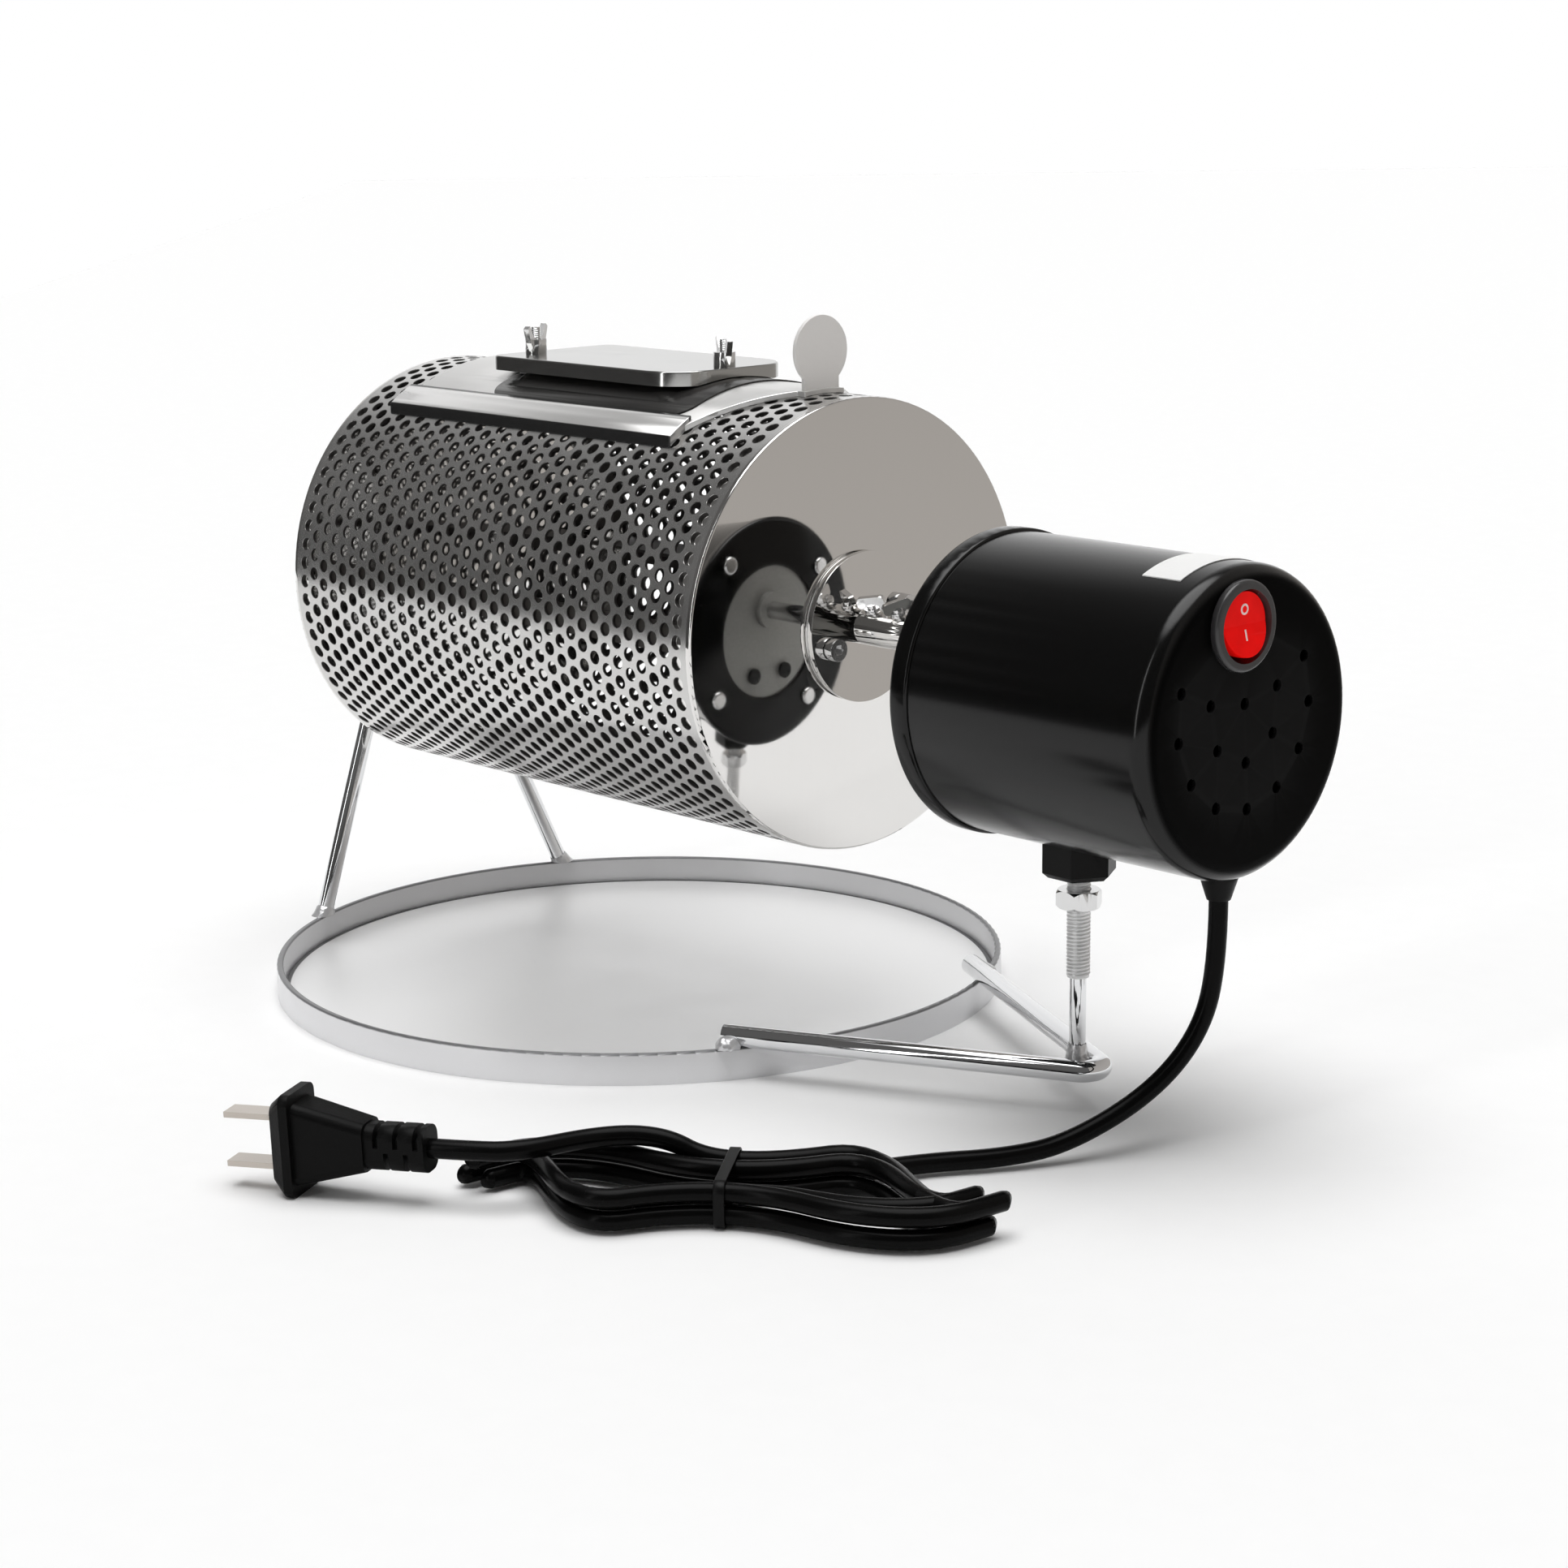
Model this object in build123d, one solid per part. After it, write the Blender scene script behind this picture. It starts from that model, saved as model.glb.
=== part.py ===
"""Small drum coffee roaster: a perforated drum on a tray stand, turned by a canned gearmotor.

Millimetres, +Z up, +X along the drum axis towards the motor.
The origin is on the floor, under the centre of the round tray.
"""
import math
import os

from build123d import *

# Driving dimensions
DRUM_D = 126.0
DRUM_LEN = 181.6
AXIS_Z = 120.0
TRAY_D = 220.0
RING_H = 9.0
CAN_D = 80.0
CAN_LEN = 86.0
MOTOR_GAP = 51.6
SHAFT_D = 6.0
LID_LEN = 84.0
LID_W = 46.0
SWITCH_D = 23.0
CORD_D = 5.0

# Clearances
RUN = 0.05
SEAT = 0.3
FREE = 0.5

# Sheet and rod gauges
SHEET = 1.0
CAP_T = 1.5
SADDLE_T = 1.5
RING_T = 2.0
LEG_D = 5.0
BAR_D = 6.0

# Drum stations
DRUM_R = DRUM_D / 2
DRUM_X0 = 6.5 - DRUM_LEN / 2
DRUM_X1 = DRUM_X0 + DRUM_LEN
SHELL_IN = DRUM_R - SHEET
SADDLE_R = DRUM_R + SADDLE_T

# Perforated sheet: a thinned pattern of openings
HOLE_COLUMNS = 12
HOLES_AROUND = 32
HOLE_W = 5.5
SPIGOT = 6.0
HOLE_MARGIN = SPIGOT + CAP_T + HOLE_W / 2 + 1.0
VANE_H = 16.0
VANE_FOOT = 8.0

# Hatch: the saddle about its own centre, with the lid and the neck a little further back
HATCH_FROM_FRONT = 83.5
HATCH_X = DRUM_X1 - HATCH_FROM_FRONT
LID_X = HATCH_X - 7.8
NECK_RISE = 1.2
NECK_TOP = SADDLE_R + NECK_RISE
NECK_DEPTH = 10.0
NECK_L = LID_LEN - 22.0
NECK_W = LID_W - 12.0
NECK_FLARE_FRONT = 21.0
NECK_FLARE_REAR = 3.5
NECK_FLARE_SIDE = 14.0
NECK_CORNER = 6.0
NECK_WALL = 1.2
NECK_WALL_FRONT = 2.6
NECK_FLANGE_T = 0.5
NECK_FLANGE = 0.5
WINDOW_L = NECK_L - 4.0
WINDOW_W = NECK_W + 10.0
STUD_R = 1.5
STUD_SPOTS = ((LID_X - LID_LEN / 2 + 4.5, -9.0), (LID_X + LID_LEN / 2 - 6.0, 0.5))
STUD_RISE = 7.6
GASKET_T = 1.0
GASKET_BAND = 4.0
LID_T = 1.2
LID_SKIRT = 3.0
LID_CORNER_REAR = 4.0
LID_CORNER_FRONT = 13.0
LID_TOP = NECK_TOP + GASKET_T + LID_T
SADDLE_HALF_W = WINDOW_W / 2 + 11.0
SADDLE_REAR = LID_LEN / 2 + 34.0
SADDLE_FRONT = LID_LEN / 2 + 7.0
SADDLE_TIP = SADDLE_FRONT + 21.0
TAB_STEM_W = 13.0
TAB_D = 19.5
TAB_T = 1.2
RAIL_W = 5.8
RAIL_LIP = 2.5
RAIL_LIP_T = 1.1

# Hub and coupling
PAD_T = 1.0
HUB_T = 1.5
HUB_R = 21.0
PAD_R = HUB_R - 0.5
STUB_FLANGE_R = 17.0
HUB_SCREWS = 2
HUB_SCREW_PCD = 29.0
HUB_SCREW_ANGLE = 198.0
SLEEVE_R = SHAFT_D / 2 + 2.0
SLEEVE_LEN = 19.0
HUB_X = DRUM_X1 + PAD_T + HUB_T
THUMB_TILT = 20.0
THUMB_X = (HUB_X + 4.6, HUB_X + 14.4)
THUMB_R = 1.5

# Rear bearing
STUB_R = 4.0
BUSH_R = 6.0
HOUSING_R = 8.0
HOUSING_LEN = 12.0
BEARING_X = DRUM_X0 - 24.0

# Motor
CAN_R = CAN_D / 2
CAN_Z = AXIS_Z - 8.0
CAN_X0 = DRUM_X1 + MOTOR_GAP
CAN_X1 = CAN_X0 + CAN_LEN
COVER_LEN = 6.5
COVER_STEP = 0.8
COVER_HOLE_R = 0.5875 * CAN_R
COVER_SCREW_R = 0.825 * CAN_R
GEAR_R = 0.75 * CAN_R
GEAR_FLANGE_R = CAN_R - SHEET - 1.6
GEAR_FLANGE_T = 2.0
GEAR_LEN = 0.5 * CAN_LEN
CAN_EDGE_R = 5.0
SWITCH_Y = -4.5
SWITCH_Z = CAN_Z + 0.6375 * CAN_R
SWITCH_R = SWITCH_D / 2
SWITCH_DEPTH = 16.0
ROCKER_TILT = 7.0
VENT_R = 1.6
VENT_Y = -2.4
VENT_Z = CAN_Z + 4.0
VENT_INNER_R = 13.3
VENT_OUTER_R = 25.2
LABEL_FRONT = 9.7
LABEL_LEN = 12.2
LABEL_WRAP = 0.4 * CAN_R
FACE_SCREW_ANGLE = 28.0

# Post under the motor
POST_X = CAN_X0 + 30.0
BAR_Z = RING_H + BAR_D / 2 - SEAT
BAR_END_X = 0.845 * TRAY_D / 2
BAR_END_Y = 0.445 * TRAY_D / 2
BAR_TIP_X = POST_X + 10.0
BAR_BEND = 5.0
POST_ROD_R = 2.2
THREAD_R = 3.25
THREAD_Z0 = 0.3 * AXIS_Z
THREAD_LAP = 8.0
THREAD_IN_KNOB = 6.0
LEG_SPREAD = 4.5
BEAD_SINK = 3.0
BEAD_RISE = 2.6
CAN_BOTTOM = CAN_Z - CAN_R
KNOB_H = 8.5
KNOB_Z0 = CAN_BOTTOM - KNOB_H
NUT_H = 4.8
NUT_Z0 = KNOB_Z0 - NUT_H - 3.6
NUT_AF = 11.0

# Cord, hank and plug
CORD_R = CORD_D / 2
CORD_X = CAN_X1 - 9.0
GROMMET_DROP = 6.0
TIE_T = 0.6
HANK_CENTRE = (173.4, -120.4)
HANK_ANGLE = 39.0
HANK_HALF = 44.5
HANK_STEP = 3.35
HANK_INNER = 3.0 * CORD_D
HANK_WAIST = 12.0
HANK_RUNS = 7
LAYER_LOW = CORD_R + TIE_T + 0.2
LAYER_STEP = CORD_D + 0.6
TIE_HALF_W = 1.4
LEAD_RISE = 20.5
LEAD_BEND = 8.0 * CORD_D
LEAD_Z = LAYER_LOW + 2 * LAYER_STEP
PLUG_U = -73.0
PLUG_V = -1.9
PLUG_TURN = 10.0
PLUG_H = 26.5
PLUG_W = 15.5
PLUG_RIM = 2.4
PLUG_BEVEL = 3.6
RELIEF_LEN = 16.0
RELIEF_H = 11.6
RELIEF_W = 9.0
PLUG_TAPER = 18.5
BLADE_GAP = 12.7
BLADE_LEN = 14.0

PIECES = {}


def save(name: str, *solids) -> None:
    """Keep one named node, as a single solid or as a group of alike solids."""
    PIECES[name] = solids[0] if len(solids) == 1 else Compound(children=list(solids))


def rod_x(radius: float, x0: float, x1: float, y: float = 0.0, z: float = AXIS_Z) -> Part:
    """Round bar along X between two stations."""
    return Pos((x0 + x1) / 2, y, z) * Rot(0, 90, 0) * Cylinder(radius, x1 - x0)


def rod_z(radius: float, z0: float, z1: float, x: float = 0.0, y: float = 0.0) -> Part:
    """Round bar along Z between two heights."""
    return Pos(x, y, (z0 + z1) / 2) * Cylinder(radius, z1 - z0)


def tube_x(outer: float, inner: float, x0: float, x1: float, y: float = 0.0, z: float = AXIS_Z) -> Part:
    """Tube along X between two stations."""
    return rod_x(outer, x0, x1, y, z) - rod_x(inner, x0 - 1, x1 + 1, y, z)


def rod_between(start: Vector, end: Vector, radius: float) -> Part:
    """Round bar between two points."""
    run = end - start
    plane = Plane(origin=start, z_dir=run)
    return extrude(plane * Circle(radius), run.length)


def slab(length: float, width: float, corner: float, z0: float, z1: float, x: float = LID_X) -> Part:
    """Upright block with rounded corners over the hatch, with heights above the drum axis."""
    outline = Pos(x, 0, AXIS_Z + z0) * RectangleRounded(length, width, corner)
    return extrude(outline, z1 - z0)


def about_axis(shape, angle: float):
    """Turn a shape about the drum axis."""
    return shape.rotate(Axis((0, 0, AXIS_Z), (1, 0, 0)), angle)


def on_circle(radius: float, angle: float, y: float = 0.0, z: float = AXIS_Z) -> tuple[float, float]:
    """Y and Z of a point on a circle that faces along X, with the angle from +Y towards +Z."""
    turn = math.radians(angle)
    return y + radius * math.cos(turn), z + radius * math.sin(turn)


def window() -> Part:
    """Tool that cuts the hatch opening through the shell and the saddle."""
    return slab(WINDOW_L, WINDOW_W, NECK_CORNER, 0.5 * DRUM_R, DRUM_R + 20)


def perforations() -> list[Part]:
    """Six-sided openings, a thinned pattern of the real sheet, clear of the hatch."""
    step = (DRUM_LEN - 2 * HOLE_MARGIN) / (HOLE_COLUMNS - 1)
    hatch_low = HATCH_X - SADDLE_REAR - HOLE_W
    hatch_high = HATCH_X + SADDLE_TIP + HOLE_W
    hatch_angle = math.degrees(math.asin((SADDLE_HALF_W + RAIL_W) / DRUM_R)) + 5
    holes = []
    for column in range(HOLE_COLUMNS):
        x = DRUM_X0 + HOLE_MARGIN + column * step
        for place in range(HOLES_AROUND):
            angle = (place + 0.5 * (column % 2)) * 360 / HOLES_AROUND
            from_top = abs((angle - 90 + 180) % 360 - 180)
            if hatch_low < x < hatch_high and from_top < hatch_angle:
                continue
            y, z = on_circle(SHELL_IN - 2, angle)
            out = Vector(0, y, z - AXIS_Z)
            plane = Plane(origin=(x, y, z), x_dir=(1, 0, 0), z_dir=out)
            holes.append(extrude(plane * RegularPolygon(HOLE_W / 2, 6), SHEET + 4))
    return holes


def build_drum() -> None:
    """Shell, end caps and stirring vanes."""
    shell = tube_x(DRUM_R, SHELL_IN, DRUM_X0 + CAP_T, DRUM_X1 - CAP_T)
    save("drum_shell", (shell - window()) - perforations())

    lip = SHELL_IN - SHEET
    front = rod_x(DRUM_R, DRUM_X1 - CAP_T, DRUM_X1)
    front = fillet(front.edges().group_by(Axis.X)[-1], 0.7)
    front += tube_x(SHELL_IN, lip, DRUM_X1 - CAP_T - SPIGOT, DRUM_X1 - CAP_T)
    rear = rod_x(DRUM_R, DRUM_X0, DRUM_X0 + CAP_T)
    rear = fillet(rear.edges().group_by(Axis.X)[0], 0.7)
    rear += tube_x(SHELL_IN, lip, DRUM_X0 + CAP_T, DRUM_X0 + CAP_T + SPIGOT)
    for y, z in hub_screw_places():
        front -= rod_x(2.0, DRUM_X1 - 5, DRUM_X1 + 5, y, z)
        rear -= rod_x(2.0, DRUM_X0 - 5, DRUM_X0 + 5, y, z)
    save("front_disc", front)
    save("rear_disc", rear)

    middle = DRUM_X0 + DRUM_LEN / 2
    length = DRUM_LEN - 2 * (SPIGOT + CAP_T + 2)
    blade = Pos(middle, 0, AXIS_Z + SHELL_IN - VANE_H / 2) * Box(length, SHEET, VANE_H + 2)
    foot = Pos(middle, (VANE_FOOT - SHEET) / 2, AXIS_Z + SHELL_IN - SHEET) * Box(length, VANE_FOOT, 3 * SHEET)
    foot &= tube_x(SHELL_IN, SHELL_IN - SHEET, DRUM_X0, DRUM_X1)
    vane = (blade & rod_x(SHELL_IN, DRUM_X0, DRUM_X1)) + foot
    for name, angle in (("vane_near", 90), ("vane_low", 180), ("vane_far", 270)):
        save(name, about_axis(vane, angle))


def build_hatch() -> None:
    """Saddle plate, edge rails, neck, grip tab, studs, lid, seal and wing nuts."""
    skin = tube_x(SADDLE_R, DRUM_R, DRUM_X0, DRUM_X1 + 20)
    tip_half = TAB_STEM_W / 2 + 1
    half_outline = [
        (-SADDLE_REAR, -SADDLE_HALF_W),
        (SADDLE_FRONT, -SADDLE_HALF_W),
        (SADDLE_TIP - 3, -tip_half),
        (SADDLE_TIP, -tip_half),
    ]
    outline = half_outline + [(x, -y) for x, y in reversed(half_outline)]
    plan = make_face(Polyline(*outline, close=True))
    saddle = extrude(Pos(HATCH_X, 0, AXIS_Z + 0.4 * DRUM_R) * plan, DRUM_R) & skin
    save("hatch_saddle", saddle - window())

    rail_x0 = HATCH_X - SADDLE_REAR - 3
    rail_x1 = HATCH_X + SADDLE_FRONT
    rail_mid = (rail_x0 + rail_x1) / 2
    outer_y = SADDLE_HALF_W + RAIL_W
    base = Pos(rail_mid, SADDLE_HALF_W + RAIL_W / 2, AXIS_Z + 0.75 * DRUM_R)
    base *= Box(rail_x1 - rail_x0, RAIL_W, DRUM_R)
    base &= skin
    lip = Pos(rail_mid, outer_y - (RAIL_W + RAIL_LIP) / 2, AXIS_Z + 0.75 * DRUM_R)
    lip *= Box(rail_x1 - rail_x0, RAIL_W + RAIL_LIP, DRUM_R)
    lip &= tube_x(SADDLE_R + RAIL_LIP_T, SADDLE_R, DRUM_X0, DRUM_X1)
    rail = base + lip
    save("hatch_rail_far", rail)
    save("hatch_rail_near", mirror(rail, Plane.XZ))

    bore = rod_x(SADDLE_R, DRUM_X0, DRUM_X1)
    flange_l = NECK_L + NECK_FLARE_REAR + NECK_FLARE_FRONT + 2 * NECK_FLANGE
    flange_w = 2 * (SADDLE_HALF_W - RAIL_LIP - SEAT)
    flange_x = LID_X + (NECK_FLARE_FRONT - NECK_FLARE_REAR) / 2
    flange = slab(flange_l, flange_w, NECK_CORNER, 0, DRUM_D, flange_x)
    flange &= tube_x(SADDLE_R + NECK_FLANGE_T, SADDLE_R, DRUM_X0, DRUM_X1)
    neck = neck_cone(0, 0) + flange - neck_cone(NECK_WALL, NECK_WALL_FRONT) - bore
    for x, y in STUD_SPOTS:
        neck -= rod_z(STUD_R + SEAT, AXIS_Z, AXIS_Z + DRUM_D, x, y)
    save("hatch_neck", neck)

    tab_x = HATCH_X + SADDLE_TIP - TAB_T
    tab_z = AXIS_Z + SADDLE_R + 10.2
    disc = rod_x(TAB_D / 2, tab_x - TAB_T, tab_x, 0, tab_z)
    stem_h = tab_z - AXIS_Z - 0.9 * DRUM_R
    stem = Pos(tab_x - TAB_T / 2, 0, tab_z - stem_h / 2) * Box(TAB_T, TAB_STEM_W, stem_h)
    save("grip_tab", (disc + stem) - rod_x(SADDLE_R, DRUM_X0, DRUM_X1 + 20))

    studs = []
    skirt_z = LID_TOP - LID_T - LID_SKIRT
    lid = lid_block(0, skirt_z, LID_TOP)
    lid = fillet(lid.edges().group_by(Axis.Z)[-1], 0.6)
    lid -= lid_block(LID_T, skirt_z - 1, LID_TOP - LID_T)
    lid -= rod_x(SADDLE_R + NECK_FLANGE_T + SEAT, DRUM_X0, DRUM_X1)
    for x, y in STUD_SPOTS:
        studs.append(rod_z(STUD_R, AXIS_Z + 0.9 * DRUM_R, AXIS_Z + LID_TOP + STUD_RISE, x, y) - bore)
        lid -= rod_z(STUD_R + SEAT, AXIS_Z, AXIS_Z + DRUM_D, x, y)
    save("lid_studs", *studs)
    save("hatch_lid", lid)

    seal = slab(NECK_L, NECK_W, NECK_CORNER, NECK_TOP, NECK_TOP + GASKET_T)
    seal -= slab(
        NECK_L - 2 * GASKET_BAND,
        NECK_W - 2 * GASKET_BAND,
        NECK_CORNER - GASKET_BAND,
        NECK_TOP - 1,
        NECK_TOP + GASKET_T + 1,
    )
    save("lid_seal", seal)

    for name, (x, y), turn in zip(("wing_nut_rear", "wing_nut_front"), STUD_SPOTS, (118, 152)):
        save(name, Pos(x, y, AXIS_Z + LID_TOP) * Rot(0, 0, turn) * wing_nut())


def neck_cone(wall: float, front_wall: float) -> Part:
    """Solid of the sloped neck, shrunk by its wall, which leans out most at the front."""
    sections = []
    for z, flare in ((NECK_TOP - NECK_DEPTH, 1), (NECK_TOP, 0)):
        x0 = LID_X - NECK_L / 2 - flare * NECK_FLARE_REAR + wall
        x1 = LID_X + NECK_L / 2 + flare * NECK_FLARE_FRONT - front_wall
        width = NECK_W + 2 * flare * NECK_FLARE_SIDE - 2 * wall
        section = RectangleRounded(x1 - x0, width, NECK_CORNER - wall)
        sections.append(Pos((x0 + x1) / 2, 0, AXIS_Z + z) * section)
    return loft(sections, ruled=True)


def lid_block(inset: float, z0: float, z1: float) -> Part:
    """Solid of the lid, shrunk by an inset, with its front corners rounder than its rear ones."""
    block = Pos(LID_X, 0, AXIS_Z + (z0 + z1) / 2) * Box(LID_LEN - 2 * inset, LID_W - 2 * inset, z1 - z0)
    block = fillet(block.edges().filter_by(Axis.Z).group_by(Axis.X)[-1], LID_CORNER_FRONT - inset)
    return fillet(block.edges().filter_by(Axis.Z).group_by(Axis.X)[0], LID_CORNER_REAR - inset)


def wing_nut() -> Part:
    """Small wing nut standing on the origin, wings along X."""
    barrel = Pos(0, 0, 2) * Cylinder(3.2, 4)
    wing_half = [(0, 1.2), (3.2, 0.6), (5.4, 3.2), (7.2, 7.4), (5.8, 8.2), (3.4, 5.0), (0, 4.0)]
    outline = wing_half + [(-x, z) for x, z in reversed(wing_half[1:-1])]
    wings = extrude(Plane.XZ * make_face(Polyline(*outline, close=True)), 0.8, both=True)
    return barrel + wings - Cylinder(STUD_R + RUN, 30)


def socket_screw(shank: float) -> Part:
    """Socket-head screw with its head's seat at the origin and its shank along -X."""
    head = rod_x(3.1, 0, 3.3, 0, 0)
    socket = Pos(1.9, 0, 0) * extrude(Plane.YZ * RegularPolygon(1.6, 6), 3)
    return head - socket + rod_x(2.0, -shank, 0, 0, 0)


def hub_screw_places() -> list[tuple[float, float]]:
    """Y and Z of the screws that hold the hub and the rear stub."""
    step = 360 / HUB_SCREWS
    return [on_circle(HUB_SCREW_PCD / 2, HUB_SCREW_ANGLE + step * place) for place in range(HUB_SCREWS)]


def build_hub() -> None:
    """Front hub with its coupling sleeve, thumb screws and shaft, and the rear stub."""
    pad = rod_x(PAD_R, DRUM_X1, DRUM_X1 + PAD_T)
    hub = rod_x(HUB_R, DRUM_X1 + PAD_T, HUB_X) + rod_x(SLEEVE_R, HUB_X, HUB_X + SLEEVE_LEN)
    hub -= rod_x(SHAFT_D / 2, HUB_X + 1, HUB_X + SLEEVE_LEN + 1)
    rear_x = DRUM_X0 - HUB_T
    stub_end = BEARING_X - HOUSING_LEN / 2 - 5
    stub = rod_x(STUB_FLANGE_R, rear_x, DRUM_X0) + rod_x(STUB_R, stub_end, rear_x)
    front_screws = []
    rear_screws = []
    for y, z in hub_screw_places():
        hole = rod_x(2.0, rear_x - 5, HUB_X + 5, y, z)
        pad -= hole
        hub -= hole
        stub -= hole
        front_screws.append(Pos(HUB_X, y, z) * socket_screw(PAD_T + HUB_T + CAP_T + 1))
        rear_screws.append(Pos(rear_x, y, z) * Rot(0, 0, 180) * socket_screw(HUB_T + CAP_T + 1))
    save("hub_pad", pad)
    save("hub_screws", *front_screws)
    save("rear_stub", stub)
    save("rear_screws", *rear_screws)

    thumb_tip = SHAFT_D / 2 + 0.2
    shank = rod_z(THUMB_R, thumb_tip, SLEEVE_R + 2.5)
    collar = rod_z(2.4, SLEEVE_R + FREE, SLEEVE_R + 1.7)
    wing = Pos(0, 0, SLEEVE_R + 3.2) * Box(8.0, 1.6, 3.2)
    wing = fillet(wing.edges().filter_by(Axis.Y), 1.2)
    thumb = shank + collar + wing
    for name, x, turn in (("thumb_screw_drum", THUMB_X[0], 25), ("thumb_screw_motor", THUMB_X[1], 60)):
        hub -= about_axis(rod_z(THUMB_R + RUN, AXIS_Z, AXIS_Z + SLEEVE_R + 3, x), THUMB_TILT)
        save(name, about_axis(Pos(x, 0, AXIS_Z) * Rot(0, 0, turn) * thumb, THUMB_TILT))
    save("hub_flange", hub)
    save("motor_shaft", rod_x(SHAFT_D / 2, HUB_X + 1, CAN_X0 + 0.25 * CAN_LEN))

    collar_x = BEARING_X - HOUSING_LEN / 2 - FREE
    save("stub_collar", tube_x(BUSH_R, STUB_R, collar_x - 3.5, collar_x))


def build_stand() -> None:
    """Tray ring and pan, rear legs and bearing, V bar, post and lock nut."""
    outer = TRAY_D / 2
    ring = rod_z(outer, 0, RING_H) - rod_z(outer - RING_T, -1, RING_H + 1)
    ring = fillet(ring.edges().group_by(Axis.Z)[-1], 0.7)
    save("tray_ring", ring)
    save("tray_pan", rod_z(outer - RING_T - SEAT, 0, 1.2))

    housing_x0 = BEARING_X - HOUSING_LEN / 2
    housing_x1 = BEARING_X + HOUSING_LEN / 2
    save("bearing_housing", tube_x(HOUSING_R, BUSH_R, housing_x0, housing_x1))
    save("bearing_bush", tube_x(BUSH_R, STUB_R + RUN, housing_x0, housing_x1))

    foot_x = -0.89 * outer
    foot_y = 0.4455 * outer
    core = rod_x(HOUSING_R, housing_x0 - HOUSING_LEN, housing_x1 + HOUSING_LEN)
    below = rod_z(TRAY_D, -RING_H, RING_H)
    beads = []
    for name, side in (("leg_near", -1), ("leg_far", 1)):
        foot = Vector(foot_x, side * foot_y, RING_H - 2)
        head = Vector(BEARING_X, side * LEG_SPREAD, AXIS_Z - HOUSING_R / 2)
        leg = rod_between(foot, head, LEG_D / 2)
        run = (head - foot).normalized()
        seat = foot + run * ((RING_H - foot.Z) / run.Z - BEAD_SINK)
        bead = Plane(origin=seat, z_dir=run) * bead_cone(LEG_D / 2, BEAD_SINK + BEAD_RISE)
        beads.append(bead - leg - below)
        save(name, leg - core - below)

    half_angle = math.atan2(BAR_END_Y, BAR_TIP_X - BAR_END_X)
    bend_axis = BAR_BEND * (1 / math.sin(half_angle) - 1)
    corner = BAR_TIP_X - BAR_D / 2 + bend_axis
    line = FilletPolyline(
        (BAR_END_X, -BAR_END_Y, BAR_Z),
        (corner, 0, BAR_Z),
        (BAR_END_X, BAR_END_Y, BAR_Z),
        radius=BAR_BEND,
    )
    start = Plane(origin=line @ 0, z_dir=line % 0)
    bar = sweep(start * Circle(BAR_D / 2), path=line)
    bar -= rod_z(outer + 1, 0, RING_H)
    save("v_bar", bar)
    for side in (-1, 1):
        spot = Vector(BAR_END_X, side * BAR_END_Y, 0)
        spot = spot.normalized() * (outer - RING_T / 2)
        bead = Pos(spot.X, spot.Y, RING_H) * Sphere(BAR_D * 0.62)
        beads.append(bead - bar - below)

    post = rod_z(POST_ROD_R, BAR_Z - BAR_D / 2, THREAD_Z0 + THREAD_LAP, POST_X) - bar
    save("post_rod", post)
    beads.append(Pos(POST_X, 0, BAR_Z) * bead_cone(POST_ROD_R, BAR_D) - bar - post)
    save("weld_beads", *beads)

    sleeve = rod_z(THREAD_R, THREAD_Z0, KNOB_Z0 + THREAD_IN_KNOB, POST_X)
    sleeve = chamfer(sleeve.edges().group_by(Axis.Z)[0], 0.8)
    save("post_thread", sleeve - rod_z(POST_ROD_R, THREAD_Z0 - 1, THREAD_Z0 + THREAD_LAP, POST_X))

    nut = extrude(Pos(POST_X, 0, NUT_Z0) * RegularPolygon(NUT_AF / 2, 6, major_radius=False), NUT_H)
    nut = nut & Pos(POST_X, 0, NUT_Z0 + NUT_H / 2) * chamfered_puck(NUT_AF * 0.577, NUT_H, 0.8)
    save("lock_nut", nut - rod_z(THREAD_R + RUN, 0, AXIS_Z, POST_X))

    knob = extrude(Pos(POST_X, 0, KNOB_Z0) * RegularPolygon(8.8, 6, major_radius=False), KNOB_H + 6)
    knob = chamfer(knob.edges().group_by(Axis.Z)[0], 1.4)
    knob -= rod_x(CAN_R, CAN_X0 - 10, CAN_X1 + 10, 0, CAN_Z)
    save("post_knob", knob - rod_z(THREAD_R, 0, KNOB_Z0 + THREAD_IN_KNOB, POST_X))


def bead_cone(rod: float, height: float) -> Part:
    """Weld bead that stands on the origin round an upright rod."""
    return Pos(0, 0, height / 2) * Cone(1.8 * rod, 1.1 * rod, height)


def chamfered_puck(radius: float, height: float, cut: float) -> Part:
    """Short round bar with both rims bevelled, which rounds off a nut's corners."""
    puck = Cylinder(radius, height)
    return chamfer(puck.edges().filter_by(GeomType.CIRCLE), cut)


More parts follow.
